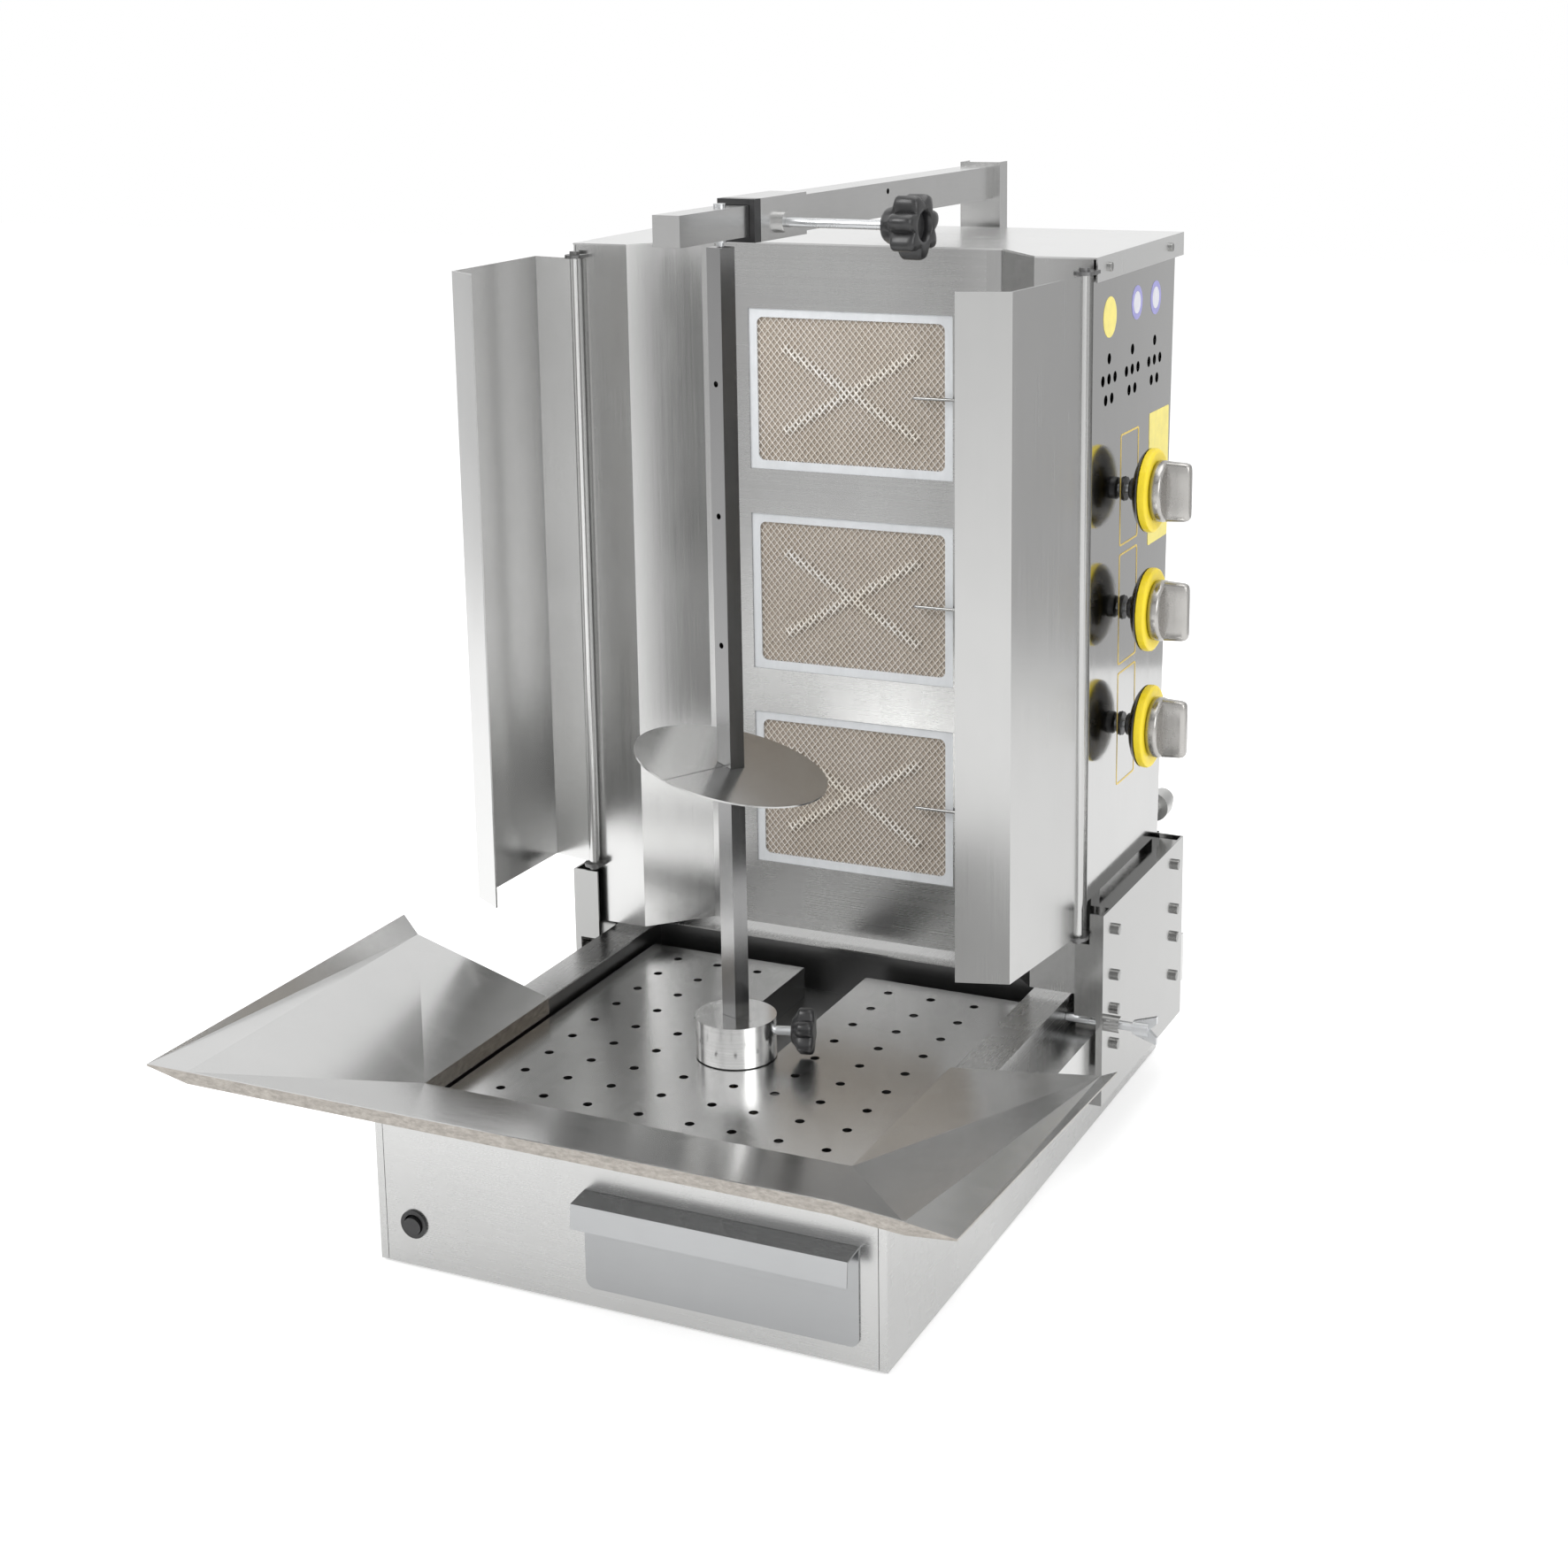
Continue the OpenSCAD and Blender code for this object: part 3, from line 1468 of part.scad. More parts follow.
base_walls();
base_front();
base_floor();
deck();
feet();
well_pan();
perforated_plate();
drawer_runners();
gear_motor();
hub_bearing();
side_rails();
rear_post();
arm_tube();
arm_liner();
switch_body();
base_screws();
cable_gland();
drive_shaft();
spit_hub();
spit_tube();
meat_disc();
clamp_knob();
clamp_screw();
arm_slider();
arm_pin();
star_knob();
star_screw();
catch_tray();
drawer_pan();
drawer_front();
switch_rocker();
side_panel_left();
side_panel_right();
housing_back_panel();
lid();
wing_left();
wing_right();
burner_fascia();
burner_frames();
burner_tiles();
burner_screens();
burner_boxes();
igniters();
gas_manifold();
gas_valves();
gas_inlet();
bracket_left();
bracket_right();
slider_pads();
carriage_bolts();
door_hinges();
door_left();
door_right();
lock_screw();
valve_stem_low();
valve_stem_middle();
valve_stem_high();
gas_knob_low();
gas_knob_middle();
gas_knob_high();
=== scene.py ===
import math

import bmesh
import bpy
from mathutils import Matrix, Vector


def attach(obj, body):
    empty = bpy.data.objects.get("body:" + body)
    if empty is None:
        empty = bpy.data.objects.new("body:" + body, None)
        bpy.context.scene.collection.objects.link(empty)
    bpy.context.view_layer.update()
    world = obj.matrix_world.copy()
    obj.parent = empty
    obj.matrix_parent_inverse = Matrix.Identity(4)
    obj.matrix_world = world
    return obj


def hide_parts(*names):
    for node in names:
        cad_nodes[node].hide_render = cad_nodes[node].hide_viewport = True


# Looks of a vertical meat grill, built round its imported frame. The pieces are measured in
# millimetres from the axis of the spit, with right +X, back +Y and the ground at height 0.
# The camera, the floor, the lamps and the cards are placed in metres in the frame itself.

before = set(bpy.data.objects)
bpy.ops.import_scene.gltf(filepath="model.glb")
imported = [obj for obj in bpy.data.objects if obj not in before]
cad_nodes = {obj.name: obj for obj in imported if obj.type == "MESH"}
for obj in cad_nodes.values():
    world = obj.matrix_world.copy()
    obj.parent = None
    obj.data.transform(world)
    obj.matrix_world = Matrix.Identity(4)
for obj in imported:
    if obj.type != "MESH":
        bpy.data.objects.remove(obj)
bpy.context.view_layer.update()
scene = bpy.context.scene

MM = 0.001
SPIT_FORWARD = 67.0  # from the frame's origin to the axis of the spit
TO_FRAME = Matrix.Scale(MM, 4) @ Matrix.Translation((0.0, -SPIT_FORWARD, 0.0))

# Camera

CAMERA_PLACE = (0.9323, -1.922, 1.0273)
CAMERA_RIGHT = (0.90012, 0.43529, -0.01745)
CAMERA_UP = (-0.08073, 0.20603, 0.97521)
CAMERA_BACK = (0.42809, -0.8764, 0.22059)

camera_data = bpy.data.cameras.new("camera")
camera_data.sensor_width = 36.0
camera_data.lens = 59.254
camera_data.shift_x = 0.0181
camera_data.shift_y = -0.13
camera_data.clip_start = 0.05
camera_data.clip_end = 50.0
camera = bpy.data.objects.new("camera", camera_data)
camera_axes = Matrix((CAMERA_RIGHT, CAMERA_UP, CAMERA_BACK)).transposed()
camera.matrix_world = Matrix.Translation(CAMERA_PLACE) @ camera_axes.to_4x4()
scene.collection.objects.link(camera)
scene.camera = camera
scene.view_settings.view_transform = "Standard"

# Node helpers


def add(tree, kind, inputs=None, **settings):
    """A node, with a number, a colour or the socket that feeds it for each input."""
    made = tree.nodes.new(kind)
    for key, value in settings.items():
        setattr(made, key, value)
    for key, value in (inputs or {}).items():
        if isinstance(value, bpy.types.NodeSocket):
            tree.links.new(value, made.inputs[key])
        else:
            made.inputs[key].default_value = value
    return made


def new_material(name, sockets=None):
    """A material, its tree and its shader, with the shader's plain numbers and colours set."""
    material = bpy.data.materials.new(name)
    material.use_nodes = True
    tree = material.node_tree
    shader = tree.nodes["Principled BSDF"]
    for key, value in (sockets or {}).items():
        shader.inputs[key].default_value = value
    return material, tree, shader


def show(tree, output):
    tree.links.new(output, tree.nodes["Material Output"].inputs["Surface"])


def place_of(tree, scale, turn=(0.0, 0.0, 0.0)):
    """The object's own coordinates. The scale is one number, or one for each axis."""
    each = scale if isinstance(scale, tuple) else (scale, scale, scale)
    place = add(tree, "ShaderNodeTexCoord").outputs["Object"]
    return add(tree, "ShaderNodeMapping", {"Vector": place, "Scale": each, "Rotation": turn}).outputs[0]


def noise(tree, vector, scale=1.0, detail=3.0, rough=0.5):
    inputs = {"Vector": vector, "Scale": scale, "Detail": detail, "Roughness": rough}
    return add(tree, "ShaderNodeTexNoise", inputs).outputs["Fac"]


def spread(tree, value, low, high, from_low=0.3, from_high=0.7):
    """Low to high as the value goes through its range, which is a noise's middle if not given."""
    inputs = {0: value, 1: from_low, 2: from_high, 3: low, 4: high}
    return add(tree, "ShaderNodeMapRange", inputs).outputs[0]


def maths(tree, operation, first, second=0.0):
    return add(tree, "ShaderNodeMath", {0: first, 1: second}, operation=operation).outputs[0]


def vector_maths(tree, operation, output, *inputs):
    return add(tree, "ShaderNodeVectorMath", dict(enumerate(inputs)), operation=operation).outputs[output]


def mixed(tree, factor, first, second, **settings):
    inputs = {0: factor, 6: first, 7: second}
    return add(tree, "ShaderNodeMix", inputs, data_type="RGBA", **settings).outputs[2]


def shade(colour, amount=1.0):
    return tuple(min(1.0, c * amount) for c in colour[:3]) + (1.0,)


def between(tree, value, colour, darker, lighter):
    """A tone that follows a noise from a darker to a lighter share of one colour."""
    return mixed(tree, spread(tree, value, 0.0, 1.0), shade(colour, darker), shade(colour, lighter))


def set_colour(tree, shader, tone):
    tree.links.new(tone, shader.inputs["Base Color"])


def set_rough(tree, shader, value):
    tree.links.new(value, shader.inputs["Roughness"])


def bump(tree, shader, height, strength, distance):
    inputs = {"Strength": strength, "Distance": distance, "Height": height}
    tree.links.new(add(tree, "ShaderNodeBump", inputs).outputs[0], shader.inputs["Normal"])


# Materials. Scales are per metre, bump distances in metres.

STREAKS = {"x": (4.0, 900.0, 900.0), "y": (900.0, 4.0, 900.0), "z": (900.0, 900.0, 4.0)}
WIPE_SCALE = (26.0, 60.0, 9.0)
WIPE_TURN = (0.4, 0.3, 0.5)
STREAK_DEPTH = 0.00006
RING_SCALE = 1500.0
RING_DEPTH = 0.00005
PLATE_DEPTH = 0.00003
MOULD_DEPTH = 0.00005
TILE_HOLES = 480.0
TILE_HOLE_DEPTH = 0.0008
WHITE = (1.0, 1.0, 1.0, 1.0)


def steel(name, colour, rough, grain, relief=0.025, vary=0.02, smear=0.03):
    """Stainless sheet with a grain along one axis, faint cloudy smears and a few wiping marks."""
    material, tree, shader = new_material(name, {"Metallic": 1.0})
    streak = noise(tree, place_of(tree, STREAKS[grain]), detail=5.0, rough=0.65)
    cloud = noise(tree, place_of(tree, 5.0), detail=4.0, rough=0.6)
    wipe = noise(tree, place_of(tree, WIPE_SCALE, WIPE_TURN), rough=0.6)
    tone = between(tree, cloud, colour, 1.0 - smear, 1.0 + smear)
    fine = between(tree, streak, WHITE, 0.96, 1.0)
    set_colour(tree, shader, mixed(tree, 1.0, tone, fine, blend_type="MULTIPLY"))
    dull = spread(tree, wipe, -0.01, 0.02, from_low=0.45, from_high=0.75)
    set_rough(tree, shader, maths(tree, "ADD", spread(tree, streak, rough - vary, rough + vary), dull))
    bump(tree, shader, streak, relief, STREAK_DEPTH)
    return material


def shade_upright_faces(material, shade_colour):
    """Paints shade on the upright faces of a folded sheet: a darker, uneven tone wherever a face stands
    upright.
    """
    tree = material.node_tree
    shader = tree.nodes["Principled BSDF"]
    sheet = shader.inputs["Base Color"].links[0].from_socket
    normal = add(tree, "ShaderNodeTexCoord").outputs["Normal"]
    facing_up = add(tree, "ShaderNodeSeparateXYZ", {0: normal}).outputs[2]
    upright = spread(tree, maths(tree, "ABSOLUTE", facing_up), 1.0, 0.0, from_low=0.1, from_high=0.35)
    mottle = noise(tree, place_of(tree, (160.0, 160.0, 400.0)), detail=4.0, rough=0.7)
    upright_shade = between(tree, mottle, shade_colour, 0.75, 1.2)
    # Upright faces take the darker mottled tone: painted shade.
    set_colour(tree, shader, mixed(tree, upright, sheet, upright_shade))
    return material


def turned(name, colour, rough, centre, relief):
    """Metal turned on a lathe: fine rings round an upright axis."""
    material, tree, shader = new_material(name, {"Metallic": 1.0})
    place = add(tree, "ShaderNodeTexCoord").outputs["Object"]
    away = vector_maths(tree, "SUBTRACT", "Vector", place, centre)
    level = vector_maths(tree, "MULTIPLY", "Vector", away, (1.0, 1.0, 0.0))
    radius = vector_maths(tree, "LENGTH", "Value", level)
    height = add(tree, "ShaderNodeSeparateXYZ", {0: away}).outputs[2]
    rings = add(tree, "ShaderNodeCombineXYZ", {0: radius, 1: height, 2: 0.0}).outputs[0]
    ring = noise(tree, rings, RING_SCALE, detail=4.0, rough=0.7)
    cloud = noise(tree, place_of(tree, 40.0))
    set_colour(tree, shader, between(tree, ring, colour, 0.9, 1.05))
    set_rough(tree, shader, maths(tree, "ADD", spread(tree, ring, rough - 0.05, rough + 0.05),
                                  spread(tree, cloud, -0.02, 0.04)))
    bump(tree, shader, ring, relief, RING_DEPTH)
    return material


def plated(name, colour, rough, fleck=0.05, scale=900.0, relief=0.2):
    """Zinc or chrome plate over steel, with faint flecks and a few dull spots."""
    material, tree, shader = new_material(name, {"Metallic": 1.0})
    grain = noise(tree, place_of(tree, scale), rough=0.6)
    cloud = noise(tree, place_of(tree, 60.0), rough=0.6)
    set_colour(tree, shader, between(tree, cloud, colour, 1.0 - fleck, 1.0 + fleck))
    set_rough(tree, shader, spread(tree, cloud, rough * 0.8, rough * 1.3))
    bump(tree, shader, grain, relief, PLATE_DEPTH)
    return material


def plastic(name, colour, rough, scale=1400.0, relief=0.25, coat=0.0, vary=0.12):
    """Moulded plastic, rubber, glaze or paint with a fine grain and faint scuffs."""
    material, tree, shader = new_material(name, {"Coat Weight": coat, "Coat Roughness": 0.1})
    grain = noise(tree, place_of(tree, scale), detail=2.0)
    scuff = noise(tree, place_of(tree, (90.0, 90.0, 30.0)), detail=4.0, rough=0.65)
    set_colour(tree, shader, between(tree, scuff, colour, 1.0 - vary, 1.0 + vary))
    set_rough(tree, shader, spread(tree, scuff, rough - 0.06, rough + 0.1))
    bump(tree, shader, grain, relief, MOULD_DEPTH)
    return material


def pierced_ceramic(name, dark_body, light_body, hole_shade_colour):
    """Burner tile: a beige body with close rows of small fire holes, painted dark as the shade in the holes.
    """
    material, tree, shader = new_material(name, {"Roughness": 0.9})
    parts = add(tree, "ShaderNodeSeparateXYZ", {0: place_of(tree, TILE_HOLES)})
    across = maths(tree, "SINE", maths(tree, "MULTIPLY", parts.outputs[0], math.tau))
    upward = maths(tree, "SINE", maths(tree, "MULTIPLY", parts.outputs[2], math.tau))
    both = maths(tree, "ABSOLUTE", maths(tree, "MULTIPLY", across, upward))
    hole = spread(tree, both, 0.0, 1.0, from_low=0.35, from_high=0.6)
    mottle = noise(tree, place_of(tree, 35.0), detail=4.0, rough=0.6)
    body = mixed(tree, spread(tree, mottle, 0.0, 1.0), shade(dark_body), shade(light_body))
    # The holes are painted dark: painted shade in them.
    set_colour(tree, shader, mixed(tree, hole, body, shade(hole_shade_colour)))
    bump(tree, shader, maths(tree, "SUBTRACT", 1.0, hole), 0.6, TILE_HOLE_DEPTH)
    return material


def heat_net(name, lift):
    """Stainless wire net, toned straw and brown by heat in patches, and made lighter by the lift: a lift
    above 1 is a painted highlight.
    """
    material, tree, shader = new_material(name, {"Metallic": 0.25})
    patch = noise(tree, place_of(tree, 16.0), detail=4.0, rough=0.6)
    fine = noise(tree, place_of(tree, 700.0), detail=2.0)
    straw, pale, brown = (0.88, 0.84, 0.77), (0.93, 0.90, 0.86), (0.55, 0.46, 0.37)
    tone = mixed(tree, spread(tree, patch, 0.0, 1.0), shade(straw, lift), shade(pale, lift))
    set_colour(tree, shader, mixed(tree, spread(tree, fine, 0.0, 0.25), tone, shade(brown, lift)))
    set_rough(tree, shader, spread(tree, fine, 0.4, 0.55))
    return material


def sticker_film(name, colour):
    """Printed film of a sticker, with a slight mottle."""
    material, tree, shader = new_material(name, {"Coat Weight": 0.3})
    mottle = noise(tree, place_of(tree, 120.0))
    set_colour(tree, shader, between(tree, mottle, colour, 0.95, 1.05))
    set_rough(tree, shader, spread(tree, mottle, 0.45, 0.55))
    return material


HUB_CENTRE = (0.0, -SPIT_FORWARD * MM, 0.0)
# Colour of the painted shade on the tray's upright faces.
UPRIGHT_SHADE = (0.31, 0.29, 0.265)

satin_x = steel("satin_steel_across", (0.5, 0.5, 0.495), 0.27, "x")
satin_y = steel("satin_steel_lengthways", (0.5, 0.5, 0.495), 0.27, "y")
satin_z = steel("satin_steel_upright", (0.47, 0.47, 0.465), 0.25, "z")
# A lighter copy of the upright steel for the left wing and left door: painted light.
painted_light_z = steel("upright_steel_painted_light", (0.62, 0.62, 0.615), 0.22, "z", relief=0.02)
spit_steel = steel("spit_steel_upright", (0.25, 0.25, 0.25), 0.22, "z", relief=0.02)
lid_steel = steel("lid_steel_across", (0.7, 0.7, 0.695), 0.25, "x", relief=0.02)
disc_steel = steel("disc_steel_across", (0.46, 0.46, 0.455), 0.2, "x", relief=0.02)
bright_x = steel("bright_steel_across", (0.62, 0.62, 0.615), 0.22, "x", relief=0.02)
# The tray's upright faces get painted shade.
tray_steel = shade_upright_faces(bright_x, UPRIGHT_SHADE)
bright_y = steel("bright_steel_lengthways", (0.58, 0.58, 0.575), 0.24, "y", relief=0.02)
bright_z = steel("bright_steel_upright", (0.37, 0.37, 0.365), 0.16, "z", relief=0.02)
mirror_z = steel("mirror_steel_panel", (0.47, 0.47, 0.465), 0.1, "z", relief=0.02, vary=0.015)
dull_steel = steel("dull_steel_inside", (0.17, 0.17, 0.17), 0.35, "x")
# A darker copy of the satin steel for the drawer front: painted shade that sets off its outline, and a
# painted dark reflection on its handle's top.
drawer_steel = steel("drawer_steel_across", (0.36, 0.365, 0.37), 0.2, "x", relief=0.02)
bolt_steel = plated("bolt_head_steel", (0.3, 0.3, 0.295), 0.2)
hub_metal = turned("turned_hub_metal", (0.9, 0.9, 0.895), 0.16, HUB_CENTRE, relief=0.12)
zinc = plated("zinc_plate", (0.56, 0.57, 0.58), 0.28)
pipe_zinc = plated("pipe_plate", (0.55, 0.55, 0.54), 0.4)
brass = plated("brass_fitting", (0.72, 0.52, 0.24), 0.3)
dark_metal = plated("blackened_metal", (0.06, 0.06, 0.062), 0.35)
bell_metal = plated("knob_bell_metal", (0.2, 0.195, 0.19), 0.22, fleck=0.03, scale=400.0, relief=0.05)
cast_metal = plated("cast_burner_metal", (0.46, 0.46, 0.45), 0.55, fleck=0.1, scale=500.0, relief=0.6)
chrome = plated("knob_chrome_plate", (0.4, 0.39, 0.375), 0.24, fleck=0.03, scale=400.0, relief=0.05)
frame_paint = plastic("frame_coat", (0.74, 0.76, 0.78), 0.35, 900.0, 0.15, coat=0.1, vary=0.05)
# The last colour is the painted shade in the fire holes.
tile_ceramic = pierced_ceramic("burner_ceramic_tile", (0.52, 0.45, 0.375), (0.62, 0.55, 0.475),
                               (0.26, 0.205, 0.16))
net_wire = heat_net("net_wire", 1.0)
# A lighter copy of the net for the ridges: a painted highlight on them.
net_ridge_painted_highlight = heat_net("net_ridge_painted_highlight", 1.15)
white_ceramic = plastic("igniter_ceramic_glaze", (0.85, 0.83, 0.78), 0.2, 500.0, 0.1, coat=0.4, vary=0.05)
black_plastic = plastic("black_plastic_mould", (0.014, 0.014, 0.015), 0.34, relief=0.2, coat=0.15)
yellow_plastic = plastic("yellow_skirt_plastic", (0.93, 0.72, 0.02), 0.4, 900.0, 0.2, coat=0.1, vary=0.06)
rubber = plastic("foot_rubber_black", (0.02, 0.02, 0.02), 0.8)
nylon = plastic("white_nylon_pad", (0.82, 0.82, 0.79), 0.5, 700.0, 0.15, vary=0.05)
motor_paint = plastic("motor_grey_paint", (0.07, 0.075, 0.08), 0.5, 600.0, 0.4)
sticker_yellow = sticker_film("sticker_yellow_film", (0.92, 0.8, 0.2))
sticker_blue = sticker_film("sticker_blue_film", (0.33, 0.32, 0.66))
sticker_pale = sticker_film("sticker_pale_film", (0.72, 0.72, 0.78))
sticker_line = sticker_film("sticker_line_film", (0.85, 0.62, 0.12))

NODE_MATERIALS = {
    satin_x: ["base_front", "burner_fascia", "housing_back_panel", "base_floor"],
    lid_steel: ["lid"],
    drawer_steel: ["drawer_front"],
    bolt_steel: ["carriage_bolts", "base_screws"],
    satin_y: ["base_walls", "drawer_pan", "drawer_runners", "deck"],
    satin_z: ["side_panel_left", "wing_right", "rear_post", "door_right"],
    # The left wing and door take the lighter copy of the upright steel: painted light.
    painted_light_z: ["wing_left", "door_left"],
    spit_steel: ["spit_tube"],
    disc_steel: ["meat_disc"],
    tray_steel: ["catch_tray"],
    bright_y: ["perforated_plate", "side_rails", "arm_tube", "arm_slider"],
    bright_z: ["bracket_left", "bracket_right"],
    mirror_z: ["side_panel_right"],
    dull_steel: ["well_pan", "door_hinges"],
    hub_metal: ["spit_hub"],
    zinc: ["clamp_screw", "star_screw", "arm_pin", "lock_screw",
           "drive_shaft", "valve_stem_low", "valve_stem_middle", "valve_stem_high"],
    pipe_zinc: ["gas_manifold", "gas_inlet"],
    brass: ["hub_bearing"],
    dark_metal: ["gas_valves"],
    cast_metal: ["burner_boxes"],
    frame_paint: ["burner_frames"],
    tile_ceramic: ["burner_tiles"],
    net_wire: ["burner_screens"],
    white_ceramic: ["igniters"],
    black_plastic: ["arm_liner", "switch_body", "switch_rocker", "cable_gland", "clamp_knob", "star_knob"],
    chrome: ["gas_knob_low", "gas_knob_middle", "gas_knob_high"],
    rubber: ["feet"],
    nylon: ["slider_pads"],
    motor_paint: ["gear_motor"],
}
for material, names in NODE_MATERIALS.items():
    for name in names:
        for holder in cad_nodes[name].material_slots:
            holder.material = material

# Mesh helpers. A part is a list of points and a list of faces.

NO_MOVE = Matrix.Identity(4)
SAME_POINT = 1e-7


def piece(name, part, material, body, at=NO_MOVE, smooth=True, angle=35.0):
    """A mesh piece from a part in millimetres, placed by a matrix and riding on a body."""
    place = TO_FRAME @ at
    mesh = bpy.data.meshes.new(name)
    mesh.from_pydata([place @ Vector(p) for p in part[0]], [], part[1])
    work = bmesh.new()
    work.from_mesh(mesh)
    bmesh.ops.remove_doubles(work, verts=work.verts, dist=SAME_POINT)
    bmesh.ops.recalc_face_normals(work, faces=work.faces)
    work.to_mesh(mesh)
    work.free()
    if smooth:
        mesh.polygons.foreach_set("use_smooth", [True] * len(mesh.polygons))
        mesh.set_sharp_from_angle(angle=math.radians(angle))
    mesh.materials.append(material)
    made = bpy.data.objects.new(name, mesh)
    scene.collection.objects.link(made)
    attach(made, body)
    return made


def gathered(parts):
    """One part from several."""
    points, faces = [], []
    for some_points, some_faces in parts:
        start = len(points)
        points += some_points
        faces += [[i + start for i in face] for face in some_faces]
    return points, faces


def moved(part, matrix):
    return [matrix @ Vector(p) for p in part[0]], part[1]


def shift(x, y, z):
    return Matrix.Translation((x, y, z))


def turn_z(degrees):
    return Matrix.Rotation(math.radians(degrees), 4, "Z")


def ring_stack(rings):
    """Skin over rings of equal count, closed at both ends."""
    count = len(rings[0])
    points = [p for ring in rings for p in ring]
    faces = []
    for r in range(len(rings) - 1):
        for i in range(count):
            j = (i + 1) % count
            faces.append([r * count + i, r * count + j, (r + 1) * count + j, (r + 1) * count + i])
    faces.append(list(range(count))[::-1])
    faces.append([(len(rings) - 1) * count + i for i in range(count)])
    return points, faces


def steps_round(count):
    """The angles of even steps round a full turn."""
    return [2 * math.pi * i / count for i in range(count)]


def ring_of(along, radii):
    """Ring round X, with one radius for each even step of the turn."""
    return [(along, radius * math.cos(angle), radius * math.sin(angle))
            for radius, angle in zip(radii, steps_round(len(radii)))]


def lathe(profile, count):
    """Solid turned round X from (along, radius) pairs."""
    return ring_stack([ring_of(along, [radius] * count) for along, radius in profile])


def extruded(outline, start, end):
    """Outline in Y and Z, extruded along X."""
    return ring_stack([[(start, y, z) for y, z in outline], [(end, y, z) for y, z in outline]])


# Burner nets: a diamond net with a cross of two ridges pressed into it

BURNER_LEVELS = {"low": 297.0, "middle": 487.0, "high": 677.0}
WINDOW = (184.0, 132.0)
NET_SIZE = (187.6, 135.6)
NET_CELLS = (31, 19)
NET_PLANE = 255.35
NET_WIRE = 1.5
RIDGE_WIRE = 2.6
RIDGE_RISE = 1.5
RIDGE_HALF = 5.0
RIDGE_END = (0.35 * WINDOW[0], 0.29 * WINDOW[1])
# Faces that rise more than this take the painted highlight.
RIDGE_HIGHLIGHT_FROM = 0.45 * RIDGE_RISE
RIDGE_THICK_FROM = 0.3 * RIDGE_RISE


def ridge_height(x, z):
    """Height of the ridges at a place measured from the middle of the net."""
    length = math.hypot(*RIDGE_END)
    best = 0.0
    for side in (-1.0, 1.0):
        ux, uz = RIDGE_END[0] / length, side * RIDGE_END[1] / length
        along, across = x * ux + z * uz, abs(x * uz - z * ux)
        if abs(along) < length + RIDGE_HALF:
            fade = min(1.0, (length + RIDGE_HALF - abs(along)) / RIDGE_HALF)
            best = max(best, fade * max(0.0, math.cos(min(1.0, across / RIDGE_HALF) * math.pi / 2)))
    return best * RIDGE_RISE


def rise_of(place):
    """How far a place in the frame stands before the plane of the nets, in millimetres."""
    return NET_PLANE - SPIT_FORWARD - place.y / MM


def net_part(level):
    """Diamonds between the even places of a grid, cut to triangles at its edges."""
    across, up = 2 * NET_CELLS[0], 2 * NET_CELLS[1]
    index, points, faces = {}, [], []
    for i in range(across + 1):
        for k in range(up + 1):
            if (i + k) % 2 == 0:
                x = (i / across - 0.5) * NET_SIZE[0]
                z = (k / up - 0.5) * NET_SIZE[1]
                index[i, k] = len(points)
                points.append((x, NET_PLANE - ridge_height(x, z), level + z))
    for i in range(across + 1):
        for k in range(up + 1):
            if (i + k) % 2 == 1:
                corners = [(i - 1, k), (i, k - 1), (i + 1, k), (i, k + 1)]
                face = [index[p] for p in corners if p in index]
                if len(face) > 2:
                    faces.append(face)
    return points, faces


for label, level in BURNER_LEVELS.items():
    net = piece(f"burner_net_{label}", net_part(level), net_wire, "carriage", smooth=False)
    net.data.materials.append(net_ridge_painted_highlight)
    # Faces high on the ridges take the lighter copy of the net: a painted highlight.
    for face in net.data.polygons:
        if rise_of(face.center) > RIDGE_HIGHLIGHT_FROM:
            face.material_index = 1
    ridge = net.vertex_groups.new(name="ridge")
    raised = [v.index for v in net.data.vertices if rise_of(v.co) > RIDGE_THICK_FROM]
    ridge.add(raised, 1.0, "REPLACE")
    wires = net.modifiers.new("wires", "WIREFRAME")
    wires.thickness = RIDGE_WIRE * MM
    wires.vertex_group = "ridge"
    wires.thickness_vertex_group = NET_WIRE / RIDGE_WIRE
    wires.use_even_offset = False
    wires.use_boundary = True
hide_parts("burner_screens")

# Igniters: a rod before each burner, and its ceramic holder in the burner wall

IGNITER_FRONT = 247.0
HOLDER_SIDE = 125.0
ROD_PROFILE = [(64.0, 0.6), (65.0, 1.3), (66.0, 1.5), (123.0, 1.5), (125.0, 1.5)]
ELBOW_PROFILE = [(246.0, 1.4), (249.5, 1.5)]
HOLDER_PROFILE = [(248.6, 2.2), (249.0, 3.4), (249.6, 4.0), (253.0, 4.0), (253.1, 3.9),
                  (262.0, 3.9), (274.0, 3.6)]

rods, holders = [], []
for level in BURNER_LEVELS.values():
    backward = shift(HOLDER_SIDE, 0.0, level) @ turn_z(90.0)
    rods.append(moved(lathe(ROD_PROFILE, 12), shift(0.0, IGNITER_FRONT, level)))
    rods.append(moved(lathe(ELBOW_PROFILE, 12), backward))
    holders.append(moved(lathe(HOLDER_PROFILE, 32), backward))
piece("igniter_rods", gathered(rods), bolt_steel, "carriage")
igniter_holders = piece("igniter_holders", gathered(holders), white_ceramic, "carriage")
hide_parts("igniters")

# Gas knobs

KNOB_BACK = 290.0
KNOB_LEVELS = {"low": 386.0, "middle": 493.0, "high": 600.0}
SLEEVE_PROFILE = [(252.6, 8.6), (253.2, 9.6), (254.0, 10.0), (258.6, 10.0), (259.2, 9.4)]
BELL_PROFILE = [(258.4, 10.2), (258.6, 13.0), (259.2, 17.0), (260.4, 22.0), (262.0, 27.0), (264.0, 31.4),
                (266.4, 34.8), (268.0, 36.4), (268.8, 36.8), (269.0, 30.0)]
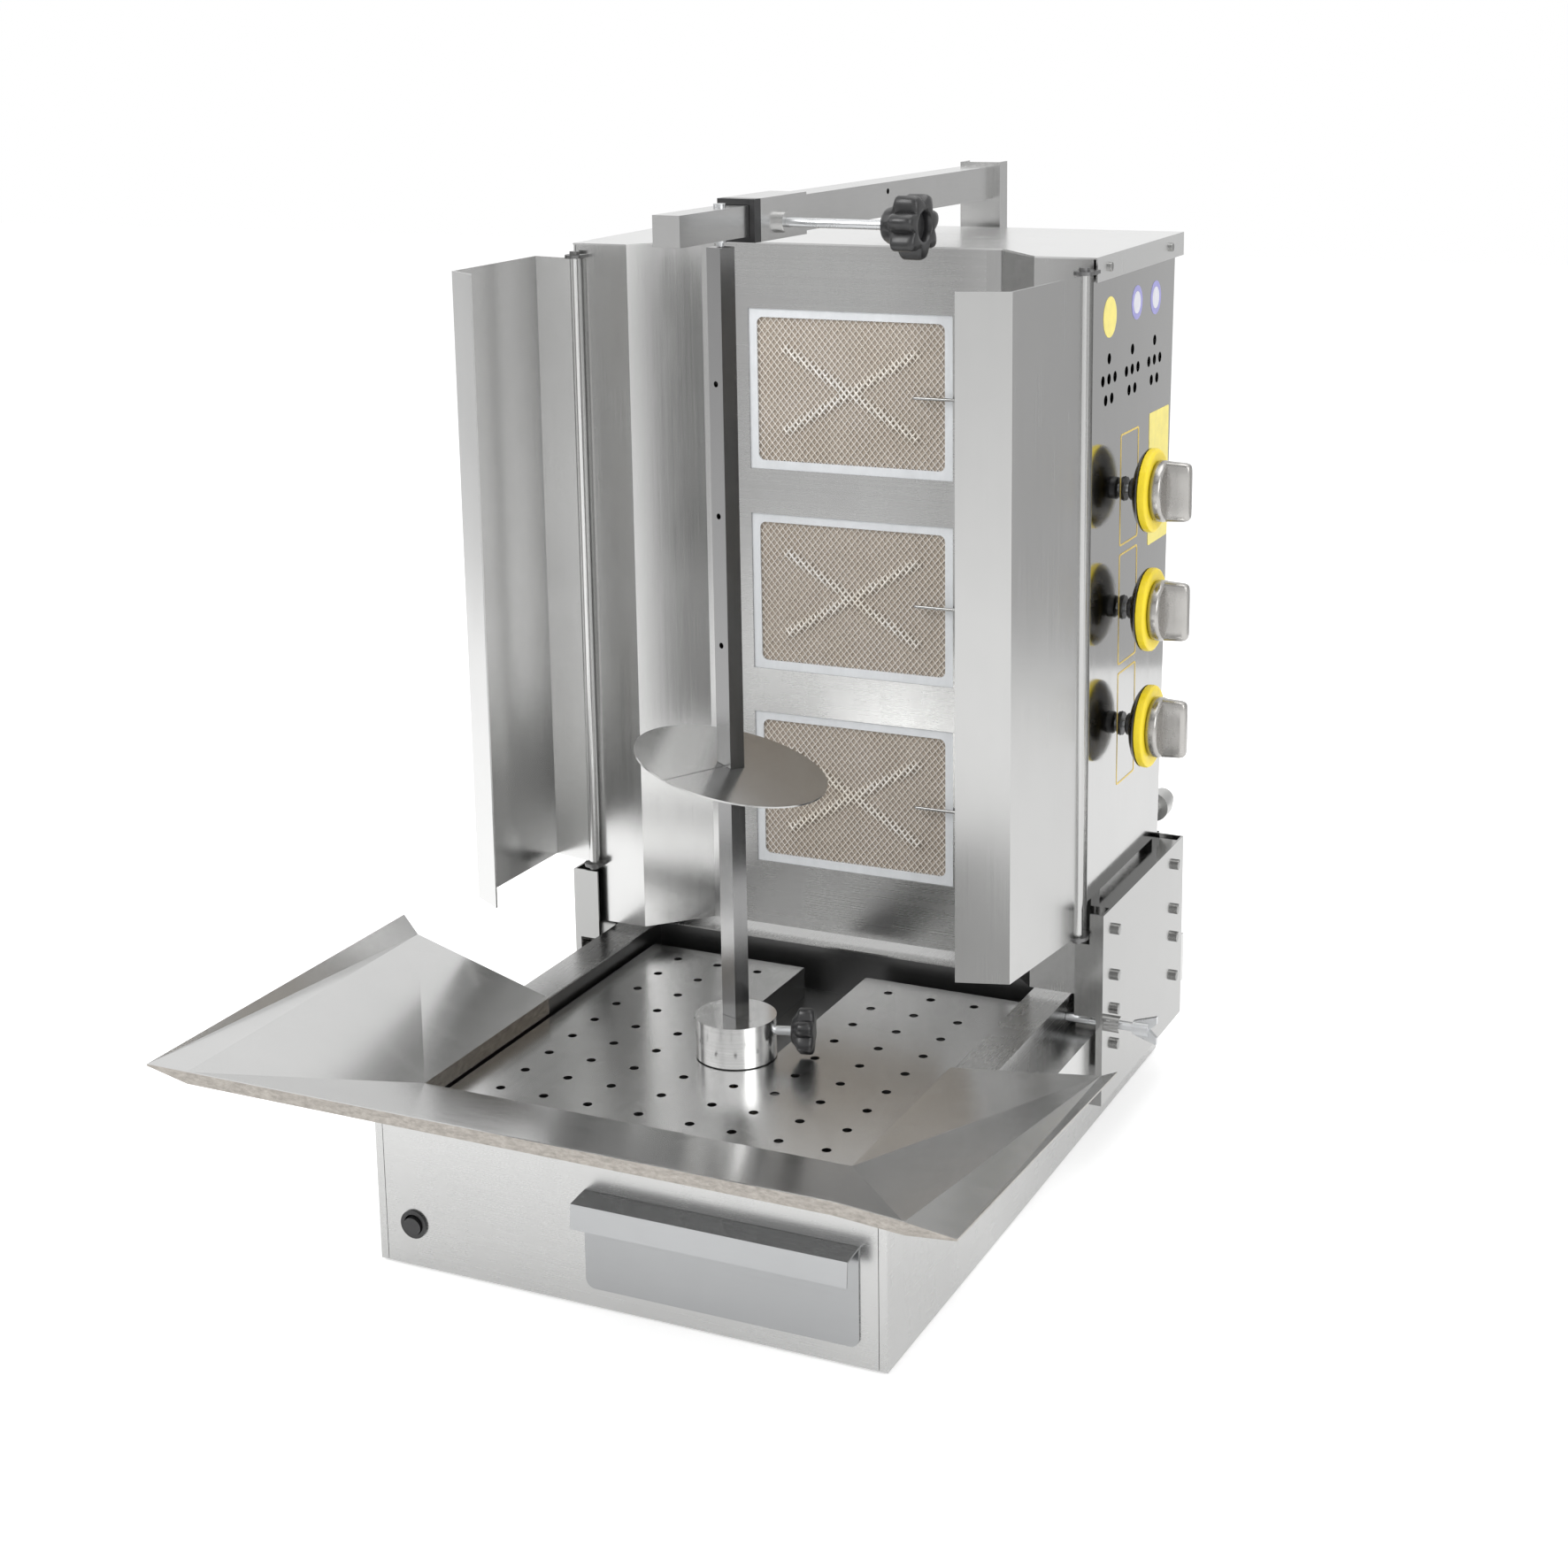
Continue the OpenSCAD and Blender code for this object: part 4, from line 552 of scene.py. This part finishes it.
# Along, radius and share of the ribs' depth
SKIRT_PROFILE = [(269.05, 34.0, 0.0), (269.3, 36.2, 0.6), (270.0, 37.0, 1.0), (274.0, 37.2, 1.0),
                 (275.6, 36.6, 0.7), (276.6, 35.0, 0.2), (277.0, 33.0, 0.0), (276.4, 27.5, 0.0)]
SKIRT_RIBS = 36
SKIRT_RIB_DEPTH = 0.35
GRIP_DISC_PROFILE = [(277.0, 26.0), (278.0, 26.8), (279.0, 27.0), (284.0, 27.0), (285.6, 26.5),
                     (286.6, 25.4), (287.0, 24.0)]
# Along and how much smaller the bar is there
BAR_PROFILE = [(286.0, 0.0), (289.0, 0.2), (296.0, 0.5), (302.0, 0.8), (305.0, 1.6), (306.4, 3.0),
               (307.0, 5.0)]
BAR_REACH = 26.6
BAR_HALF = 8.0
BAR_WAIST = 0.78


def knob_grip():
    """Chromed grip: a round disc with an upright bar that is waisted in the middle."""
    rings = []
    for along, shrink in BAR_PROFILE:
        ring = []
        for angle in steps_round(48):
            c, s = math.cos(angle), math.sin(angle)
            z = math.copysign(abs(s) ** 0.75, s) * (BAR_REACH - shrink)
            waist = BAR_WAIST + (1.0 - BAR_WAIST) * (z / BAR_REACH) ** 2
            half = (BAR_HALF - shrink * 0.8) * waist
            ring.append((along, math.copysign(abs(c) ** 0.45, c) * half, z))
        rings.append(ring)
    return gathered([lathe(GRIP_DISC_PROFILE, 72), ring_stack(rings)])


def knob_skirt():
    """Yellow skirt with a slightly coned front and shallow ribs round its rim."""
    rings = []
    for along, radius, share in SKIRT_PROFILE:
        ribs = [0.5 + 0.5 * math.cos(SKIRT_RIBS * angle) for angle in steps_round(144)]
        rings.append(ring_of(along, [radius - SKIRT_RIB_DEPTH * share * rib for rib in ribs]))
    return ring_stack(rings)


for label, level in KNOB_LEVELS.items():
    at = shift(0.0, KNOB_BACK, level)
    body = f"knob_{label}"
    piece(f"knob_bell_{label}", lathe(BELL_PROFILE, 72), bell_metal, body, at)
    piece(f"knob_sleeve_{label}", lathe(SLEEVE_PROFILE, 64), black_plastic, body, at)
    piece(f"knob_skirt_{label}", knob_skirt(), yellow_plastic, body, at)
    grip = piece(f"knob_grip_{label}", knob_grip(), chrome, body, at)
    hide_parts(f"gas_knob_{label}")

# Bolt heads: a shallow dome on each bolt of the housing's brackets

DOME_RISE = 1.2
DOME_SINK = 0.02
DOME_RIM = 0.22
DOME_STEPS = 8


def islands(holder):
    """Bounds, in millimetres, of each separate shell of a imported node."""
    work = bmesh.new()
    work.from_mesh(holder.data)
    work.verts.ensure_lookup_table()
    left, found = set(range(len(work.verts))), []
    while left:
        todo, shell = [left.pop()], []
        while todo:
            vertex = work.verts[todo.pop()]
            shell.append(TO_FRAME.inverted() @ holder.matrix_world @ vertex.co)
            for edge in vertex.link_edges:
                other = edge.other_vert(vertex).index
                if other in left:
                    left.remove(other)
                    todo.append(other)
        found.append([[pick(p[k] for p in shell) for k in range(3)] for pick in (min, max)])
    work.free()
    return found


def dome(radius):
    """Bolt dome, rounded at its rim, with its flat face at zero along X."""
    profile = [(0.0, radius * 0.9), (0.0, radius), (DOME_RISE * DOME_RIM, radius)]
    for step in range(1, DOME_STEPS):
        angle = math.pi / 2 * step / DOME_STEPS
        rise = DOME_RISE * (DOME_RIM + (1.0 - DOME_RIM) * math.sin(angle))
        profile.append((rise, radius * math.cos(angle)))
    return lathe(profile, 32)


bolt_domes = []
for low, high in islands(cad_nodes["carriage_bolts"]):
    middle = [(low[k] + high[k]) / 2 for k in range(3)]
    on_right = middle[0] > 0
    head = high[0] - DOME_SINK if on_right else low[0] + DOME_SINK
    at = shift(head, middle[1], middle[2]) @ turn_z(0.0 if on_right else 180.0)
    bolt_domes.append(moved(dome((high[2] - low[2]) / 2), at))
piece("carriage_bolt_domes", gathered(bolt_domes), bolt_steel, "carriage")

# Star and clamp knobs: along, radius in the valleys, radius on the lobes and sharpness of the lobes

STAR_SECTIONS = [(115.0, 11.0, 11.0, 1.0), (115.6, 13.0, 13.0, 1.0), (118.0, 14.5, 14.8, 1.0),
                 (124.0, 15.5, 17.0, 0.9), (127.5, 17.0, 23.5, 0.7), (129.0, 17.6, 26.0, 0.6),
                 (131.0, 18.0, 27.0, 0.55), (144.0, 19.0, 27.0, 0.55), (147.0, 18.8, 26.3, 0.55),
                 (149.0, 18.0, 24.8, 0.6), (149.8, 16.5, 21.0, 0.8), (150.0, 15.0, 16.5, 1.0)]
STAR_RECESS = [(149.6, 13.2), (148.8, 12.2), (142.4, 11.6), (142.0, 10.8)]
CLAMP_SECTIONS = [(48.0, 8.0, 8.0, 1.0), (48.5, 10.0, 10.4, 1.0), (50.5, 11.8, 13.0, 1.0),
                  (53.0, 13.2, 17.0, 0.8), (54.6, 14.2, 20.0, 0.65), (56.0, 14.8, 21.0, 0.6),
                  (64.0, 15.0, 21.0, 0.6), (66.0, 14.6, 20.4, 0.6), (67.3, 13.4, 18.6, 0.65),
                  (67.9, 11.0, 15.0, 0.8), (68.0, 9.0, 10.0, 1.0)]
CLAMP_RECESS = [(67.7, 6.0), (67.7, 3.0)]
STAR_AT = turn_z(-4.8) @ shift(0.0, 68.0, 847.0)
CLAMP_AT = turn_z(18.0) @ shift(0.0, 0.0, 163.5)


def lobed(sections, recess, lobes, count):
    """Lobed grip round X, with a round recess in its end."""
    waves = [0.5 + 0.5 * math.cos(lobes * (angle + math.pi / 2)) for angle in steps_round(count)]
    rings = [ring_of(along, [valley + (peak - valley) * wave ** sharp for wave in waves])
             for along, valley, peak, sharp in sections]
    rings += [ring_of(along, [radius] * count) for along, radius in recess]
    return ring_stack(rings)


star_grip = lobed(STAR_SECTIONS, STAR_RECESS, 7, 168)
star_knob = piece("star_knob_grip", star_grip, black_plastic, "star", STAR_AT,
                  angle=50.0)
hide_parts("star_knob")
clamp_grip = lobed(CLAMP_SECTIONS, CLAMP_RECESS, 6, 144)
clamp_knob = piece("clamp_knob_grip", clamp_grip, black_plastic, "clamp", CLAMP_AT,
                   angle=50.0)
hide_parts("clamp_knob")

# Stickers on the right side panel, without any print

PANEL_FACE = 247.0
FILM = 0.25
FILM_BACK = PANEL_FACE + 0.02
RING_STICKERS = [(317.7, 760.6), (372.0, 759.0)]
PLATE_LEVELS = {"high": (550.0, 650.0), "middle": (442.0, 543.0), "low": (331.0, 435.0)}
PLATE_SIDES = (277.0, 328.0)
PLATE_LINE = 1.6


def disc_outline(y, z, radius):
    return [(y + radius * math.cos(angle), z + radius * math.sin(angle)) for angle in steps_round(48)]


def rect_outline(y0, y1, z0, z1, corner, steps=4):
    """Rectangle with round corners of that radius, each in that many steps."""
    points = []
    for cy, cz, start in ((y1 - corner, z1 - corner, 0), (y0 + corner, z1 - corner, 90),
                          (y0 + corner, z0 + corner, 180), (y1 - corner, z0 + corner, 270)):
        for i in range(steps + 1):
            angle = math.radians(start + 90 * i / steps)
            points.append((cy + corner * math.cos(angle), cz + corner * math.sin(angle)))
    return points


def film(name, outline, material):
    return piece(name, extruded(outline, FILM_BACK, FILM_BACK + FILM), material, "carriage", smooth=False)


def hollow_film(name, outer, inner, material):
    """Film between two outlines of equal count: outer and inner points at its back, then at its front."""
    count = len(outer)
    points = [(x, y, z) for x in (FILM_BACK, FILM_BACK + FILM) for line in (outer, inner) for y, z in line]
    faces = []
    for i in range(count):
        j = (i + 1) % count
        faces += [[i, j, count + j, count + i], [2 * count + i, 3 * count + i, 3 * count + j, 2 * count + j],
                  [i, 2 * count + i, 2 * count + j, j], [count + i, count + j, 3 * count + j, 3 * count + i]]
    return piece(name, (points, faces), material, "carriage", smooth=False)


film("sticker_round_yellow", disc_outline(242.6, 756.5, 17.5), sticker_yellow)
for number, (y, z) in enumerate(RING_STICKERS):
    hollow_film(f"sticker_ring_{number}", disc_outline(y, z, 15.0), disc_outline(y, z, 10.0), sticker_blue)
    film(f"sticker_round_pale_{number}", disc_outline(y, z, 9.8), sticker_pale)
film("sticker_label_yellow", rect_outline(359.0, 417.0, 535.0, 656.0, 2.0), sticker_yellow)
for label, (low, high) in PLATE_LEVELS.items():
    front, back = PLATE_SIDES
    outer = rect_outline(front, back, low, high, 3.0)
    inner = rect_outline(front + PLATE_LINE, back - PLATE_LINE, low + PLATE_LINE, high - PLATE_LINE, 2.4)
    hollow_film(f"knob_plate_line_{label}", outer, inner, sticker_line)

# Studio. The lamps have a width, a height and a power in watts. The cards are flags that only
# reflections see: they give bright metal something darker to show, most of all in their middle.

FLOOR_SIDE = 16.0
FLOOR_HEIGHT = -0.0005
FLOOR_COLOUR = (0.86, 0.86, 0.86, 1.0)
FLOOR_LIFT = 0.42
AMBIENT = 0.78
LAMP_TARGET = (0.0, 0.0, 0.4)
LAMPS = {
    "key_lamp": ((-1.6, -2.0, 2.4), 1.6, 1.6, 46.0),
    "fill_lamp": ((2.4, -1.2, 1.6), 1.4, 1.8, 20.0),
    "top_lamp": ((0.2, 0.4, 2.8), 2.0, 2.0, 22.0),
}
# Width, height, place, the place it faces, glow in the middle, glow at the edges
CARDS = {
    "card_front_left": (1.8, 1.5, (-0.95, -1.5, 0.76), (0.0, 0.1, 0.76), 0.68, 0.95),
    "card_back_right": (1.5, 1.4, (1.05, 1.6, 0.71), (0.25, 0.2, 0.71), 0.62, 0.9),
    "card_right": (0.9, 2.0, (2.6, 0.3, 0.8), (0.2, 0.2, 0.5), 0.4, 0.85),
    "card_left": (0.9, 2.0, (-2.4, -0.2, 0.9), (0.0, 0.0, 0.5), 0.12, 0.8),
    "card_above_front": (2.2, 0.7, (0.6, -2.2, 2.7), (0.0, 0.0, 0.5), 0.2, 0.8),
}


def aimed(at, target, axis):
    """Stands at one place, with one of its own axes towards another place."""
    turn = (Vector(target) - Vector(at)).to_track_quat(axis, "Y")
    return Matrix.Translation(at) @ turn.to_matrix().to_4x4()


def stage_plane(name, width, height, at, material):
    w, h = width / 2, height / 2
    mesh = bpy.data.meshes.new(name)
    mesh.from_pydata([(-w, -h, 0), (w, -h, 0), (w, h, 0), (-w, h, 0)], [], [[0, 1, 2, 3]])
    mesh.materials.append(material)
    made = bpy.data.objects.new(name, mesh)
    made.matrix_world = at
    scene.collection.objects.link(made)
    return made


def seen_directly(tree):
    """One where a ray comes from the camera, a reflection or a pane."""
    light_path = add(tree, "ShaderNodeLightPath").outputs
    seen = maths(tree, "MAXIMUM", light_path["Is Camera Ray"], light_path["Is Glossy Ray"])
    return maths(tree, "MAXIMUM", seen, light_path["Is Transmission Ray"])


floor_material, floor_tree, floor_shader = new_material(
    "studio_floor", {"Base Color": FLOOR_COLOUR, "Roughness": 1.0, "Specular IOR Level": 0.0})
floor_lift = maths(floor_tree, "MULTIPLY", seen_directly(floor_tree), FLOOR_LIFT)
floor_glow = add(floor_tree, "ShaderNodeEmission", {"Color": WHITE, "Strength": floor_lift})
floor_both = add(floor_tree, "ShaderNodeAddShader", {0: floor_shader.outputs[0], 1: floor_glow.outputs[0]})
show(floor_tree, floor_both.outputs[0])
stage_plane("studio_floor", FLOOR_SIDE, FLOOR_SIDE, shift(0.0, 0.0, FLOOR_HEIGHT), floor_material)

world = bpy.data.worlds.new("studio")
scene.world = world
world.use_nodes = True
world_tree = world.node_tree
background = world_tree.nodes["Background"]
background.inputs["Color"].default_value = WHITE
strength = spread(world_tree, seen_directly(world_tree), AMBIENT, 1.0, from_low=0.0, from_high=1.0)
world_tree.links.new(strength, background.inputs["Strength"])

for name, (at, width, height, power) in LAMPS.items():
    data = bpy.data.lights.new(name, "AREA")
    data.shape = "RECTANGLE"
    data.size, data.size_y, data.energy = width, height, power
    lamp = bpy.data.objects.new(name, data)
    lamp.matrix_world = aimed(at, LAMP_TARGET, "-Z")
    lamp.visible_camera = False
    scene.collection.objects.link(lamp)

for name, (width, height, at, target, middle_glow, edge_glow) in CARDS.items():
    material, tree, shader = new_material(name)
    place = add(tree, "ShaderNodeTexCoord").outputs["Generated"]
    across = add(tree, "ShaderNodeSeparateXYZ", {0: place}).outputs[0]
    inward = maths(tree, "SINE", maths(tree, "MULTIPLY", across, math.pi))
    glow = spread(tree, inward, edge_glow, middle_glow, from_low=0.0, from_high=0.8)
    show(tree, add(tree, "ShaderNodeEmission", {"Strength": glow}).outputs[0])
    card = stage_plane(name, width, height, aimed(at, target, "Z"), material)
    card.visible_camera = False
    card.visible_diffuse = False
    card.visible_shadow = False
    card.visible_transmission = False
